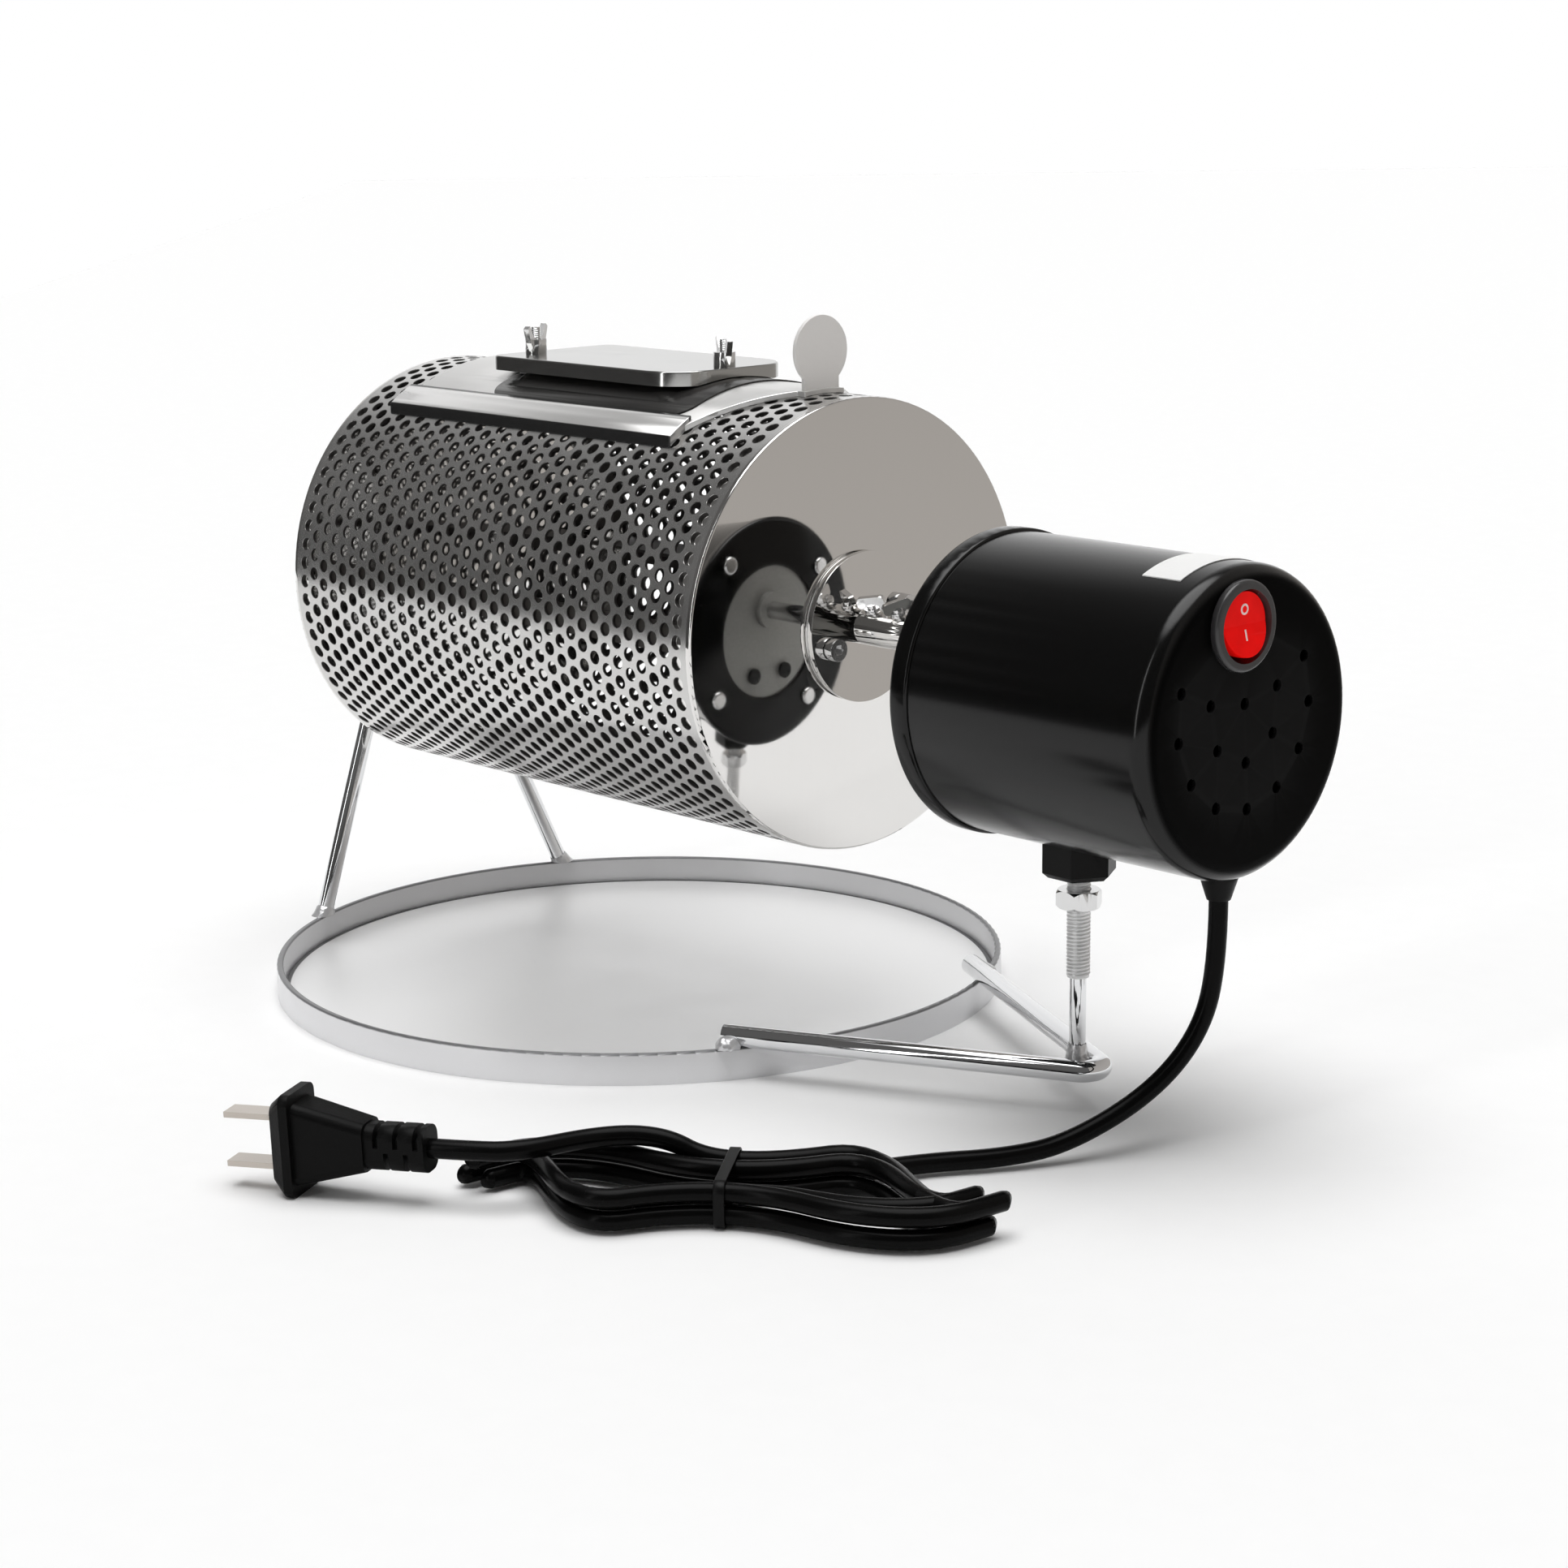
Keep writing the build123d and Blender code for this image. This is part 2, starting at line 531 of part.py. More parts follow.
def build_motor() -> None:
    """Can, rear cover, gearmotor, capacitor, rocker switch, blank label and cord grommet."""
    seam_x = CAN_X0 + COVER_LEN
    can = rod_x(CAN_R, seam_x, CAN_X1, 0, CAN_Z)
    can = fillet(can.edges().group_by(Axis.X)[-1], CAN_EDGE_R)
    can -= rod_x(CAN_R - SHEET, seam_x - 1, CAN_X1 - SHEET - 3, 0, CAN_Z)
    can -= rod_x(CAN_R - CAN_EDGE_R, CAN_X1 - 10, CAN_X1 - SHEET, 0, CAN_Z)
    can -= rod_x(SWITCH_R - 1.6, CAN_X1 - 9, CAN_X1 + 9, SWITCH_Y, SWITCH_Z)
    for y, z in vent_places():
        can -= rod_x(VENT_R, CAN_X1 - 9, CAN_X1 + 9, y, z)
    can -= rod_z(3.6, CAN_BOTTOM - 9, CAN_BOTTOM + 9, CORD_X)
    save("motor_can", can)

    cover = rod_x(CAN_R + COVER_STEP, CAN_X0, seam_x, 0, CAN_Z)
    cover = fillet(cover.edges().group_by(Axis.X)[0], 1.6)
    cover -= rod_x(CAN_R - SHEET, CAN_X0 + SHEET, seam_x + 1, 0, CAN_Z)
    cover -= rod_x(COVER_HOLE_R, CAN_X0 - 1, seam_x, 0, CAN_Z)
    body_x = CAN_X0 + SHEET
    gear = rod_x(GEAR_FLANGE_R, body_x, body_x + GEAR_FLANGE_T, 0, CAN_Z)
    gear += rod_x(GEAR_R, body_x, body_x + GEAR_LEN, 0, CAN_Z)
    gear += rod_x(SLEEVE_R + 1.5, body_x - 3, body_x)
    gear -= rod_x(SHAFT_D / 2 + RUN, body_x - 5, CAN_X0 + 0.25 * CAN_LEN + FREE)
    screws = []
    for place in range(4):
        y, z = on_circle(COVER_SCREW_R, 38 + 90 * place, 0, CAN_Z)
        hole = rod_x(1.5, CAN_X0 - 5, body_x + GEAR_FLANGE_T + 3, y, z)
        cover -= hole
        gear -= hole
        head = rod_x(3.2, CAN_X0 - 1.8, CAN_X0, y, z)
        head = fillet(head.edges().group_by(Axis.X)[0], 1.0)
        screws.append(head + rod_x(1.5, CAN_X0, body_x + GEAR_FLANGE_T + 2, y, z))
    face_screws = []
    for place in (-1, 1):
        y, z = on_circle(0.42 * CAN_R, FACE_SCREW_ANGLE * place - 90, 0, CAN_Z)
        gear -= rod_x(1.5, body_x - 1, body_x + 6, y, z)
        face_screws.append(rod_x(2.8, body_x - 1.6, body_x, y, z) + rod_x(1.5, body_x, body_x + 6, y, z))
    save("rear_cover", cover)
    save("cover_screws", *screws)
    save("gearmotor", gear)
    save("gearmotor_screws", *face_screws)
    cap_x = body_x + GEAR_LEN
    save("run_capacitor", Pos(cap_x + 6, 0, CAN_Z - 0.35 * CAN_R) * Box(12, 22, 14))

    bezel = tube_x(SWITCH_R, SWITCH_R - 2.3, CAN_X1, CAN_X1 + 2.2, SWITCH_Y, SWITCH_Z)
    bezel = fillet(bezel.edges().group_by(Axis.X)[-1].sort_by(SortBy.RADIUS)[-1], 1.0)
    bezel += rod_x(SWITCH_R - 1.6, CAN_X1 - SWITCH_DEPTH, CAN_X1, SWITCH_Y, SWITCH_Z)
    bezel -= rod_x(SWITCH_R - 2.3, CAN_X1 - 6.5, CAN_X1 + 5, SWITCH_Y, SWITCH_Z)
    save("switch_bezel", bezel)
    terminals = []
    for place in (-1, 1):
        blade = Pos(CAN_X1 - SWITCH_DEPTH - 4, SWITCH_Y + 3.5 * place, SWITCH_Z) * Box(8, 0.8, 4.8)
        terminals.append(blade)
    save("switch_terminals", *terminals)
    save("switch_rocker", rocker())

    label_x = CAN_X1 - LABEL_FRONT
    label = tube_x(CAN_R + 0.25, CAN_R, label_x - LABEL_LEN, label_x, 0, CAN_Z)
    save("blank_label", label & Pos(label_x, 0, CAN_Z + CAN_R) * Box(CAN_D, 2 * LABEL_WRAP, CAN_R))

    grommet = rod_z(3.6, CAN_BOTTOM - 1, CAN_BOTTOM + 4, CORD_X)
    grommet += Pos(CORD_X, 0, CAN_BOTTOM - GROMMET_DROP / 2) * Cone(CORD_R + 0.6, 5.0, GROMMET_DROP)
    grommet -= tube_x(CAN_R, CAN_R - SHEET, CORD_X - 9, CORD_X + 9, 0, CAN_Z) - rod_z(3.6, 0, AXIS_Z, CORD_X)
    save("cord_grommet", grommet)


def vent_places() -> list[tuple[float, float]]:
    """Centres of the vent holes: one in the middle, five round it and nine in the outer arc."""
    inner = [on_circle(VENT_INNER_R, 20 - 53.2 * place, VENT_Y, VENT_Z) for place in range(5)]
    outer = [on_circle(VENT_OUTER_R, 25 - 27.8 * place, VENT_Y, VENT_Z) for place in range(9)]
    return [(VENT_Y, VENT_Z + 1.7)] + inner + outer


def rocker() -> Part:
    """Round rocker, tilted to its off side, with two flats that meet in a shallow valley."""
    reach = SWITCH_R - 3.4
    pivot = Vector(CAN_X1 - 2.0, SWITCH_Y, SWITCH_Z)
    crest = reach * math.tan(math.radians(ROCKER_TILT))
    face_x = pivot.X + 3.0
    side = [
        (pivot.X - 3.0, -3.0),
        (face_x - 1.0, -reach),
        (face_x + crest, -reach),
        (face_x, 0.0),
        (face_x + crest, reach),
        (face_x - 1.0, reach),
        (pivot.X - 3.0, 3.0),
    ]
    outline = Polyline(*[(x, z + SWITCH_Z) for x, z in side], close=True)
    body = Pos(0, SWITCH_Y, 0) * extrude(Plane.XZ * make_face(outline), reach, both=True)
    body &= rod_x(reach, pivot.X - 9, pivot.X + 9, SWITCH_Y, SWITCH_Z)
    return body.rotate(Axis(pivot, (0, 1, 0)), -ROCKER_TILT)


def hank_frame() -> tuple[Vector, Vector, Vector]:
    """Centre of the hank on the floor, its long direction and its direction away from the viewer."""
    turn = math.radians(HANK_ANGLE)
    along = Vector(math.cos(turn), math.sin(turn), 0)
    across = Vector(-math.sin(turn), math.cos(turn), 0)
    return Vector(*HANK_CENTRE, 0), along, across


def hank_point(u: float, v: float, z: float) -> Vector:
    """Point given along and across the hank."""
    centre, along, across = hank_frame()
    return centre + along * u + across * v + Vector(0, 0, z)


def bow(start: Vector, heading: Vector, length: float, shift: Vector) -> list[Edge]:
    """Two equal arcs that carry a line sideways by shift and leave it on its first heading."""
    drift = shift.length
    side = shift.normalized()
    radius = (length**2 + drift**2) / (4 * drift)
    angle = math.asin(length / (2 * radius))

    def spot(turn: float) -> Vector:
        return heading * (radius * math.sin(turn)) + side * (radius * (1 - math.cos(turn)))

    end = start + heading * length + shift
    middle = start + spot(angle)
    first = Edge.make_three_point_arc(start, start + spot(angle / 2), middle)
    second = Edge.make_three_point_arc(middle, end - spot(angle / 2), end)
    return [first, second]


def half_turn(start: Vector, end: Vector, heading: Vector) -> list[Edge]:
    """Two quarter arcs from one run of the hank to the next."""
    centre = (start + end) * 0.5
    radius = (end - start).length / 2
    arm = (start - centre).normalized()
    edges = []
    for quarter in range(2):
        spots = []
        for eighth in range(3):
            turn = math.radians(90 * quarter + 45 * eighth)
            spots.append(centre + (arm * math.cos(turn) + heading * math.sin(turn)) * radius)
        edges.append(Edge.make_three_point_arc(*spots))
    return edges


def hank_runs() -> list[tuple[float, float, float]]:
    """Side offset and the start and end heights of each run, spiralling in and then out a layer up."""
    middle = HANK_RUNS // 2
    runs = []
    for run in range(HANK_RUNS):
        size = HANK_INNER + HANK_STEP * abs(run - middle)
        side = 1 if run % 2 == 0 else -1
        z0 = LAYER_LOW + (LAYER_STEP if run > middle else 0)
        z1 = LAYER_LOW + (LAYER_STEP if run >= middle else 0)
        runs.append((side * size, z0, z1))
    return runs


def hank_path() -> Wire:
    """One unbroken line through all the runs and folds, joined by the cord half way along its first bow."""
    centre, along, across = hank_frame()
    runs = hank_runs()
    edges = []
    for index, (v, z0, z1) in enumerate(runs):
        way = -1 if index % 2 == 0 else 1
        heading = along * way
        inward = across * (-HANK_WAIST if v > 0 else HANK_WAIST)
        climb = Vector(0, 0, (z1 - z0) / 2)
        start = hank_point(-way * HANK_HALF, v, z0)
        approach = bow(start, heading, HANK_HALF, inward + climb)
        if index == 0:
            entry = approach[1]
            approach = [Edge.make_line((entry @ 0) - (entry % 0) * CORD_D, entry @ 0), entry]
        edges += approach
        waist = start + heading * HANK_HALF + inward + climb
        if index == len(runs) - 1:
            edges.append(Edge.make_line(waist, waist + heading * (TIE_HALF_W + TIE_T)))
            break
        edges += bow(waist, heading, HANK_HALF, climb - inward)
        end = hank_point(way * HANK_HALF, v, z1)
        edges += half_turn(end, hank_point(way * HANK_HALF, runs[index + 1][0], z1), heading)
    return Wire(edges)


def least_gap(path: Wire, samples: int = 700) -> float:
    """Smallest clear gap between two stretches of a cord that are not neighbours along it."""
    spots = [path @ (index / samples) for index in range(samples + 1)]
    skip = math.ceil(4 * CORD_D / (path.length / samples))
    least = path.length
    for index, spot in enumerate(spots):
        for other in spots[index + skip:]:
            least = min(least, (spot - other).length)
    return least - CORD_D


def tube(path: Wire, radius: float) -> Part:
    """Round cord along a path."""
    start = Plane(origin=path @ 0, z_dir=path % 0)
    return sweep(start * Circle(radius), path=path)


def drop_route(hank: Wire) -> list[Vector]:
    """Points of the cord from the grommet down to the floor and along it to the hank."""
    last = hank @ 0
    exit_z = CAN_BOTTOM - GROMMET_DROP
    return [
        Vector(CORD_X, 0, exit_z),
        Vector(CORD_X, 0, exit_z - 19),
        Vector(CORD_X - 2.3, -4.5, exit_z - 36),
        Vector(CORD_X - 8.4, -16, exit_z - 50),
        Vector(CORD_X - 18.4, -35, LAYER_LOW + 2),
        Vector(CORD_X - 26, -50, LAYER_LOW),
        last - (hank % 0) * 4 * CORD_D,
        last,
    ]


def corner_radii(route: list[Vector]) -> list[float]:
    """Radius of each corner of a cord's route, as large as its two runs allow."""
    radii = []
    for before, corner, after in zip(route, route[1:], route[2:]):
        turn = math.radians((corner - before).get_angle(after - corner))
        shorter = min((corner - before).length, (after - corner).length)
        radii.append(0.45 * shorter / math.tan(turn / 2))
    return radii


def build_cord() -> None:
    """Cord from the grommet, its tied hank, the lead to the plug and the plug itself."""
    centre, along, across = hank_frame()
    hank = hank_path()
    route = drop_route(hank)
    radii = corner_radii(route)
    drop = FilletPolyline(*route, radius=radii)
    save("cord_drop", tube(drop, CORD_R))
    print("drop radii", [round(radius, 1) for radius in radii])
    print("drop route", [tuple(round(value, 1) for value in spot) for spot in route])

    save("cord_hank", tube(hank, CORD_R))
    print("hank least gap", round(least_gap(hank), 2))

    lead_start = hank @ 1
    tail = hank_point(PLUG_U, PLUG_V, LEAD_Z)
    heading = along * -1
    lift = Vector(0, 0, LEAD_Z - lead_start.Z)
    crest = lead_start + heading * LEAD_RISE + lift

    sink = math.asin((LEAD_Z - PLUG_H / 2) / (RELIEF_LEN + PLUG_TAPER + PLUG_RIM))
    turn = math.radians(PLUG_TURN)
    aim = heading * math.cos(turn) + across * math.sin(turn)
    aim = aim * math.cos(sink) - Vector(0, 0, math.sin(sink))
    angle = math.radians(heading.get_angle(aim))
    side = (aim - heading * math.cos(angle)).normalized()
    join = tail - aim * CORD_D

    def bend(part: float) -> Vector:
        return (heading * math.sin(part) + side * (1 - math.cos(part))) * LEAD_BEND

    bend_start = join - bend(angle)
    run = (bend_start - crest).dot(heading)
    edges = bow(lead_start, heading, LEAD_RISE, lift)
    edges += bow(crest, heading, run, bend_start - crest - heading * run)
    edges.append(Edge.make_three_point_arc(bend_start, bend_start + bend(angle / 2), join))
    edges.append(Edge.make_line(join, tail))
    lead = Wire(edges)
    save("cord_lead", tube(lead, CORD_R))
    print("lead radii", [round(edge.radius, 1) for edge in edges[:5]])
    print("hank and lead least gap", round(least_gap(Wire(list(hank.edges()) + edges)), 2))

    total = drop.length + hank.length + lead.length
    print("cord length", round(total, 1))
    for name, path in (("drop", drop), ("hank", hank), ("lead", lead)):
        solid = PIECES["cord_" + name]
        ratio = solid.volume / (math.pi * CORD_R**2 * path.length)
        print(name, round(path.length, 1), "volume ratio", round(ratio, 4))

    build_tie(across)
    build_plug(tail, aim)


def build_tie(across: Vector) -> None:
    """Flat tie round the waist of the hank."""
    sizes = [abs(run[0]) for run in hank_runs()]
    far = max(sizes) - HANK_WAIST + CORD_R
    near = sizes[1] - HANK_WAIST + CORD_R
    gap = 0.2
    wide = far + near + 2 * gap
    tall = LAYER_STEP + CORD_D + 2 * gap
    middle = hank_point(0, (far - near) / 2, LAYER_LOW + LAYER_STEP / 2)
    plane = Plane(origin=middle, x_dir=across, z_dir=hank_frame()[1])
    band = plane * RectangleRounded(wide + 2 * TIE_T, tall + 2 * TIE_T, CORD_R + TIE_T)
    band -= plane * RectangleRounded(wide, tall, CORD_R)
    save("cord_tie", extrude(band, TIE_HALF_W, both=True))


def build_plug(tail: Vector, heading: Vector) -> None:
    """Two-blade plug standing on its narrow side, with a slit strain relief and a bevelled flange."""
    plane = Plane(origin=tail, x_dir=(0, 0, 1), z_dir=heading)
    body = extrude(plane * RectangleRounded(RELIEF_H, RELIEF_W, 3.4), RELIEF_LEN)
    slits = 5
    pitch = RELIEF_LEN / (slits + 1)
    for slit in range(slits):
        side = 1 if slit % 2 == 0 else -1
        place = Pos(side * RELIEF_H / 2, 0, pitch * (slit + 0.8))
        body -= plane * place * Box(0.9 * RELIEF_H, 2 * RELIEF_W, 0.5 * pitch)
    body += extrude(plane * Circle(CORD_R + 0.8), RELIEF_LEN)
    foot = plane.offset(RELIEF_LEN) * RectangleRounded(RELIEF_H + 0.8, RELIEF_W + 1.5, 2.5)
    shoulder = plane.offset(RELIEF_LEN + PLUG_TAPER) * RectangleRounded(0.8 * PLUG_H, 0.8 * PLUG_W, 2.5)
    body += loft([foot, shoulder], ruled=True)
    rim = plane.offset(RELIEF_LEN + PLUG_TAPER)
    body += extrude(rim * RectangleRounded(PLUG_H, PLUG_W, 2.5), PLUG_RIM)
    face = rim.offset(PLUG_RIM + PLUG_BEVEL)
    bevel = [rim.offset(PLUG_RIM) * RectangleRounded(PLUG_H, PLUG_W, 2.5)]
    bevel.append(face * RectangleRounded(0.78 * PLUG_H, 0.72 * PLUG_W, 2.5))
    body += loft(bevel, ruled=True)
    save("plug_body", body)
    blades = []
    for side in (-1, 1):
        blade = face * Pos(side * BLADE_GAP / 2, 0, BLADE_LEN / 2) * Box(1.5, 6.3, BLADE_LEN)
        blades.append(blade)
    save("plug_blades", *blades)


def main() -> None:
    """Build every piece and write one STEP file for each."""
    os.makedirs("parts", exist_ok=True)
    build_drum()
    build_hatch()
    build_hub()
    build_stand()
    build_motor()
    build_cord()
    for name, shape in PIECES.items():
        export_step(shape, f"parts/{name}.step")
    print(len(PIECES), "pieces")


main()
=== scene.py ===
"""Looks of a small drum coffee roaster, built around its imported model.

Metres, +Z up, +X along the drum axis towards the motor, origin on the floor under the tray.
"""
import logging
import math
from collections.abc import Iterable, Mapping, Sequence
from dataclasses import dataclass, field, replace
from enum import Enum

import bmesh
import bpy
from mathutils import Matrix, Vector


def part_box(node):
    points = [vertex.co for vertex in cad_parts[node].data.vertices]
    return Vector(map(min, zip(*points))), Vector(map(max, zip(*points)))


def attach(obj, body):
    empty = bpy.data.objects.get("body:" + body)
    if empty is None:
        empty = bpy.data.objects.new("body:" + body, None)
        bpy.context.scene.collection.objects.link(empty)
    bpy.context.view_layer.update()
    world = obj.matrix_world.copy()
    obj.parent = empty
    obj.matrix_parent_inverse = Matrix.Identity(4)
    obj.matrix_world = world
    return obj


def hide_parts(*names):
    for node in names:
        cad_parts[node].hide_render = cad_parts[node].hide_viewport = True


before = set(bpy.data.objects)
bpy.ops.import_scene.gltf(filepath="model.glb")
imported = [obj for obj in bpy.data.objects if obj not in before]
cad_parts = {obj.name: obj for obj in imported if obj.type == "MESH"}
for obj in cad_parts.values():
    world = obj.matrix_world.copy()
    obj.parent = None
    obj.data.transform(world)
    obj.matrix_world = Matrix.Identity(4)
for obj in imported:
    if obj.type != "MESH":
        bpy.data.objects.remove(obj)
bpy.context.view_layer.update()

LOG = logging.getLogger("roaster")
MM = 0.001
DRUM_AXIS = 0.12
JOIN_GAP = 1e-6
MERGE_GAP = 1e-7
SLIVER = 1e-8
BEVEL_ANGLE = 40.0
SPLIT_ANGLE = 32.0
WHITE = (1.0, 1.0, 1.0)

Pair = tuple[float, float]
Colour = tuple[float, float, float]


class Body(str, Enum):
    """Bodies of the roaster that carry the pieces made here."""

    STAND = "stand"
    DRUM = "drum"
    ROCKER = "rocker"


class Grain(Enum):
    """Direction of the fine polishing lines in a metal."""

    ALONG_X = (40.0, 2600.0, 2600.0)
    ALONG_Z = (2600.0, 2600.0, 40.0)
    EVEN = (900.0, 900.0, 900.0)


class Edge(Enum):
    """Widths by which hard edges are rounded, in metres."""

    KEEN = 0.0
    FINE = 0.2 * MM
    EASED = 0.3 * MM
    ROUND = 0.4 * MM
    SOFT = 0.5 * MM
    MOULDED = 0.6 * MM
    PRESSED = 0.8 * MM


class Sock:
    """Output of a shader node, whose arithmetic adds Math nodes."""

    def __init__(self, graph: "Graph", socket: bpy.types.NodeSocket) -> None:
        """Keep the socket and the graph that it is in."""
        self.graph = graph
        self.socket = socket

    def maths(self, operation: str, first: object, second: object = 0.0) -> "Sock":
        """Join two values with one Math node.

        Args:
            operation: Name of the Math node's operation.
            first: Socket or number on the left.
            second: Socket or number on the right.

        Returns:
            The result's socket.
        """
        return self.graph.node("Math", {"operation": operation}, {0: first, 1: second})

    def __add__(self, other: object) -> "Sock":
        """Sum of two values."""
        return self.maths("ADD", self, other)

    __radd__ = __add__

    def __sub__(self, other: object) -> "Sock":
        """Difference of two values."""
        return self.maths("SUBTRACT", self, other)

    def __rsub__(self, other: object) -> "Sock":
        """Difference with this value on the right."""
        return self.maths("SUBTRACT", other, self)

    def __mul__(self, other: object) -> "Sock":
        """Product of two values."""
        return self.maths("MULTIPLY", self, other)

    __rmul__ = __mul__

    def step(self, low: float, high: float) -> "Sock":
        """Smooth step from 0 at low to 1 at high."""
        inputs = {"Value": self, "From Min": low, "From Max": high}
        return self.graph.node("MapRange", {"interpolation_type": "SMOOTHSTEP"}, inputs)


class Graph:
    """Node tree that is filled through one node-making method."""

    def __init__(self, tree: bpy.types.NodeTree) -> None:
        """Start with an empty tree."""
        self.tree = tree
        tree.nodes.clear()

    def node(
        self,
        kind: str,
        settings: Mapping[str, object] | None = None,
        sockets: Mapping[str | int, object] | None = None,
        output: str | int = 0,
    ) -> Sock:
        """Add one node.

        Args:
            kind: Node type without its ShaderNode prefix.
            settings: Properties that are set first.
            sockets: Values or linked sockets of the inputs.
            output: Name or number of the output to hand back.

        Returns:
            The chosen output, or the first one.
        """
        made = self.tree.nodes.new("ShaderNode" + kind)
        for name, value in (settings or {}).items():
            setattr(made, name, value)
        for key, value in (sockets or {}).items():
            if isinstance(value, Sock):
                self.tree.links.new(value.socket, made.inputs[key])
            else:
                made.inputs[key].default_value = value
        return Sock(self, made.outputs[output]) if made.outputs else Sock(self, None)

    def place(self) -> Sock:
        """Point of the surface in the shared frame."""
        return self.node("TexCoord", output="Object")

    def coordinate(self, axis: str) -> Sock:
        """One coordinate of the surface's point, X, Y or Z."""
        return self.node("SeparateXYZ", None, {0: self.place()}, axis)

    def square(self, first: str, second: str, level: float = 0.0) -> Sock:
        """Square of the distance from a line along the third axis.

        Args:
            first: One axis across the line.
            second: The other axis across it.
            level: Place of the line on the second axis.

        Returns:
            The square, in square metres.
        """
        across = self.coordinate(first)
        depth = self.coordinate(second) - level
        return across * across + depth * depth

    def noise(self, scale: Sequence[float] | float, detail: float = 2.0, rough: float = 0.5) -> Sock:
        """Noise with a size of its own along each axis.

        Args:
            scale: One frequency per metre, or three.
            detail: Octaves of the noise.
            rough: Share of the finer octaves.

        Returns:
            Value from 0 to 1.
        """
        stretch = (scale,) * 3 if isinstance(scale, (int, float)) else scale
        where = self.node("Mapping", None, {"Vector": self.place(), "Scale": stretch})
        inputs = {"Vector": where, "Scale": 1.0, "Detail": detail, "Roughness": rough}
        return self.node("TexNoise", None, inputs)

    def blend(self, share: Sock, first: object, second: object) -> Sock:
        """Mix two colours.

        Args:
            share: Amount of the second one.
            first: Colour or socket at 0.
            second: Colour or socket at 1.

        Returns:
            The mixed colour.
        """
        ends = [value if isinstance(value, Sock) else (*value, 1.0) for value in (first, second)]
        return self.node("Mix", {"data_type": "RGBA"}, {0: share, 6: ends[0], 7: ends[1]}, 2)

    def bump(self, height: Sock, depth: float) -> Sock:
        """Normal of a surface with a fine relief of that depth in metres."""
        return self.node("Bump", None, {"Height": height, "Distance": depth, "Strength": 1.0})


def new_material(name: str) -> tuple[bpy.types.Material, Graph]:
    """New material and its graph.

    Args:
        name: Name of the material.

    Returns:
        The material and its empty graph.
    """
    made = bpy.data.materials.new(name)
    made.use_nodes = True
    return made, Graph(made.node_tree)


@dataclass(frozen=True)
class Finish:
    """One surface finish: a plain coat, which the other finishes refine."""

    name: str
    slot: str
    colour: Colour
    roughness: float

    def surface(self, graph: Graph) -> dict[str, object]:
        """Inputs of the main shader."""
        return {"Base Color": (*self.colour, 1.0), "Roughness": self.roughness}

    def material(self) -> bpy.types.Material:
        """Make the material once and hand it back after that.

        Returns:
            The material.
        """
        name = self.name + "_finish"
        found = bpy.data.materials.get(name)
        if found is None:
            found, graph = new_material(name)
            shader = graph.node("BsdfPrincipled", None, self.surface(graph))
            graph.node("OutputMaterial", None, {"Surface": shader})
        return found


@dataclass(frozen=True)
class Steel(Finish):
    """Bare or plated metal with polishing lines, hand marks and a slight change of tone."""

    grain: Grain = Grain.EVEN
    line_depth: float = 0.00001
    smudge: float = 0.05
    tone: float = 0.06
    metal: float = 1.0
    dome: float = 0.0
    mark_scale: float = 38.0
    mark_span: Pair = (0.42, 0.72)
    cloud_scale: float = 11.0

    def surface(self, graph: Graph) -> dict[str, object]:
        """Inputs of the main shader.

        Args:
            graph: The material's graph.

        Returns:
            The inputs by name.
        """
        lines = graph.noise(self.grain.value, detail=3.0, rough=0.6)
        marks = graph.noise(self.mark_scale, detail=4.0, rough=0.62).step(*self.mark_span)
        cloud = graph.noise(self.cloud_scale)
        dull = tuple(value * (1 - self.tone) for value in self.colour)
        rough = marks * self.smudge + lines * (0.5 * self.smudge) + (self.roughness - 0.25 * self.smudge)
        relief = lines * self.line_depth
        if self.dome:
            relief = relief - self.bulge(graph)
        return {
            "Base Color": graph.blend(cloud * 0.6 + lines * 0.4, self.colour, dull),
            "Metallic": self.metal,
            "Roughness": rough,
            "Normal": graph.bump(relief, 1.0),
        }

    def bulge(self, graph: Graph) -> Sock:
        """Depth of a pressed disc that is domed by a hair about the drum's axis."""
        return graph.square("Y", "Z", DRUM_AXIS) * (0.5 / self.dome)


@dataclass(frozen=True)
class PunchedSteel(Steel):
    """Sheet of the drum; its inside face and hole walls carry painted shade, near black, dull and not
    metallic.
    """

    # near-black colour of the painted shade inside the drum and in the hole walls
    inside: Colour = (0.02, 0.018, 0.016)
    skin: Pair = (0.0627, 0.0629)
    inside_dullness: float = 0.4

    def surface(self, graph: Graph) -> dict[str, object]:
        """Inputs of the main shader.

        Args:
            graph: The material's graph.

        Returns:
            The inputs by name.
        """
        inputs = super().surface(graph)
        # painted shade: everything under the outer skin, the inside face and most of each hole wall, turns
        # near black and dull
        outer = graph.square("Y", "Z", DRUM_AXIS).step(self.skin[0] ** 2, self.skin[1] ** 2)
        inputs["Base Color"] = graph.blend(outer, self.inside, inputs["Base Color"])
        inputs["Roughness"] = inputs["Roughness"] + (1 - outer) * self.inside_dullness
        inputs["Metallic"] = outer * self.metal
        return inputs


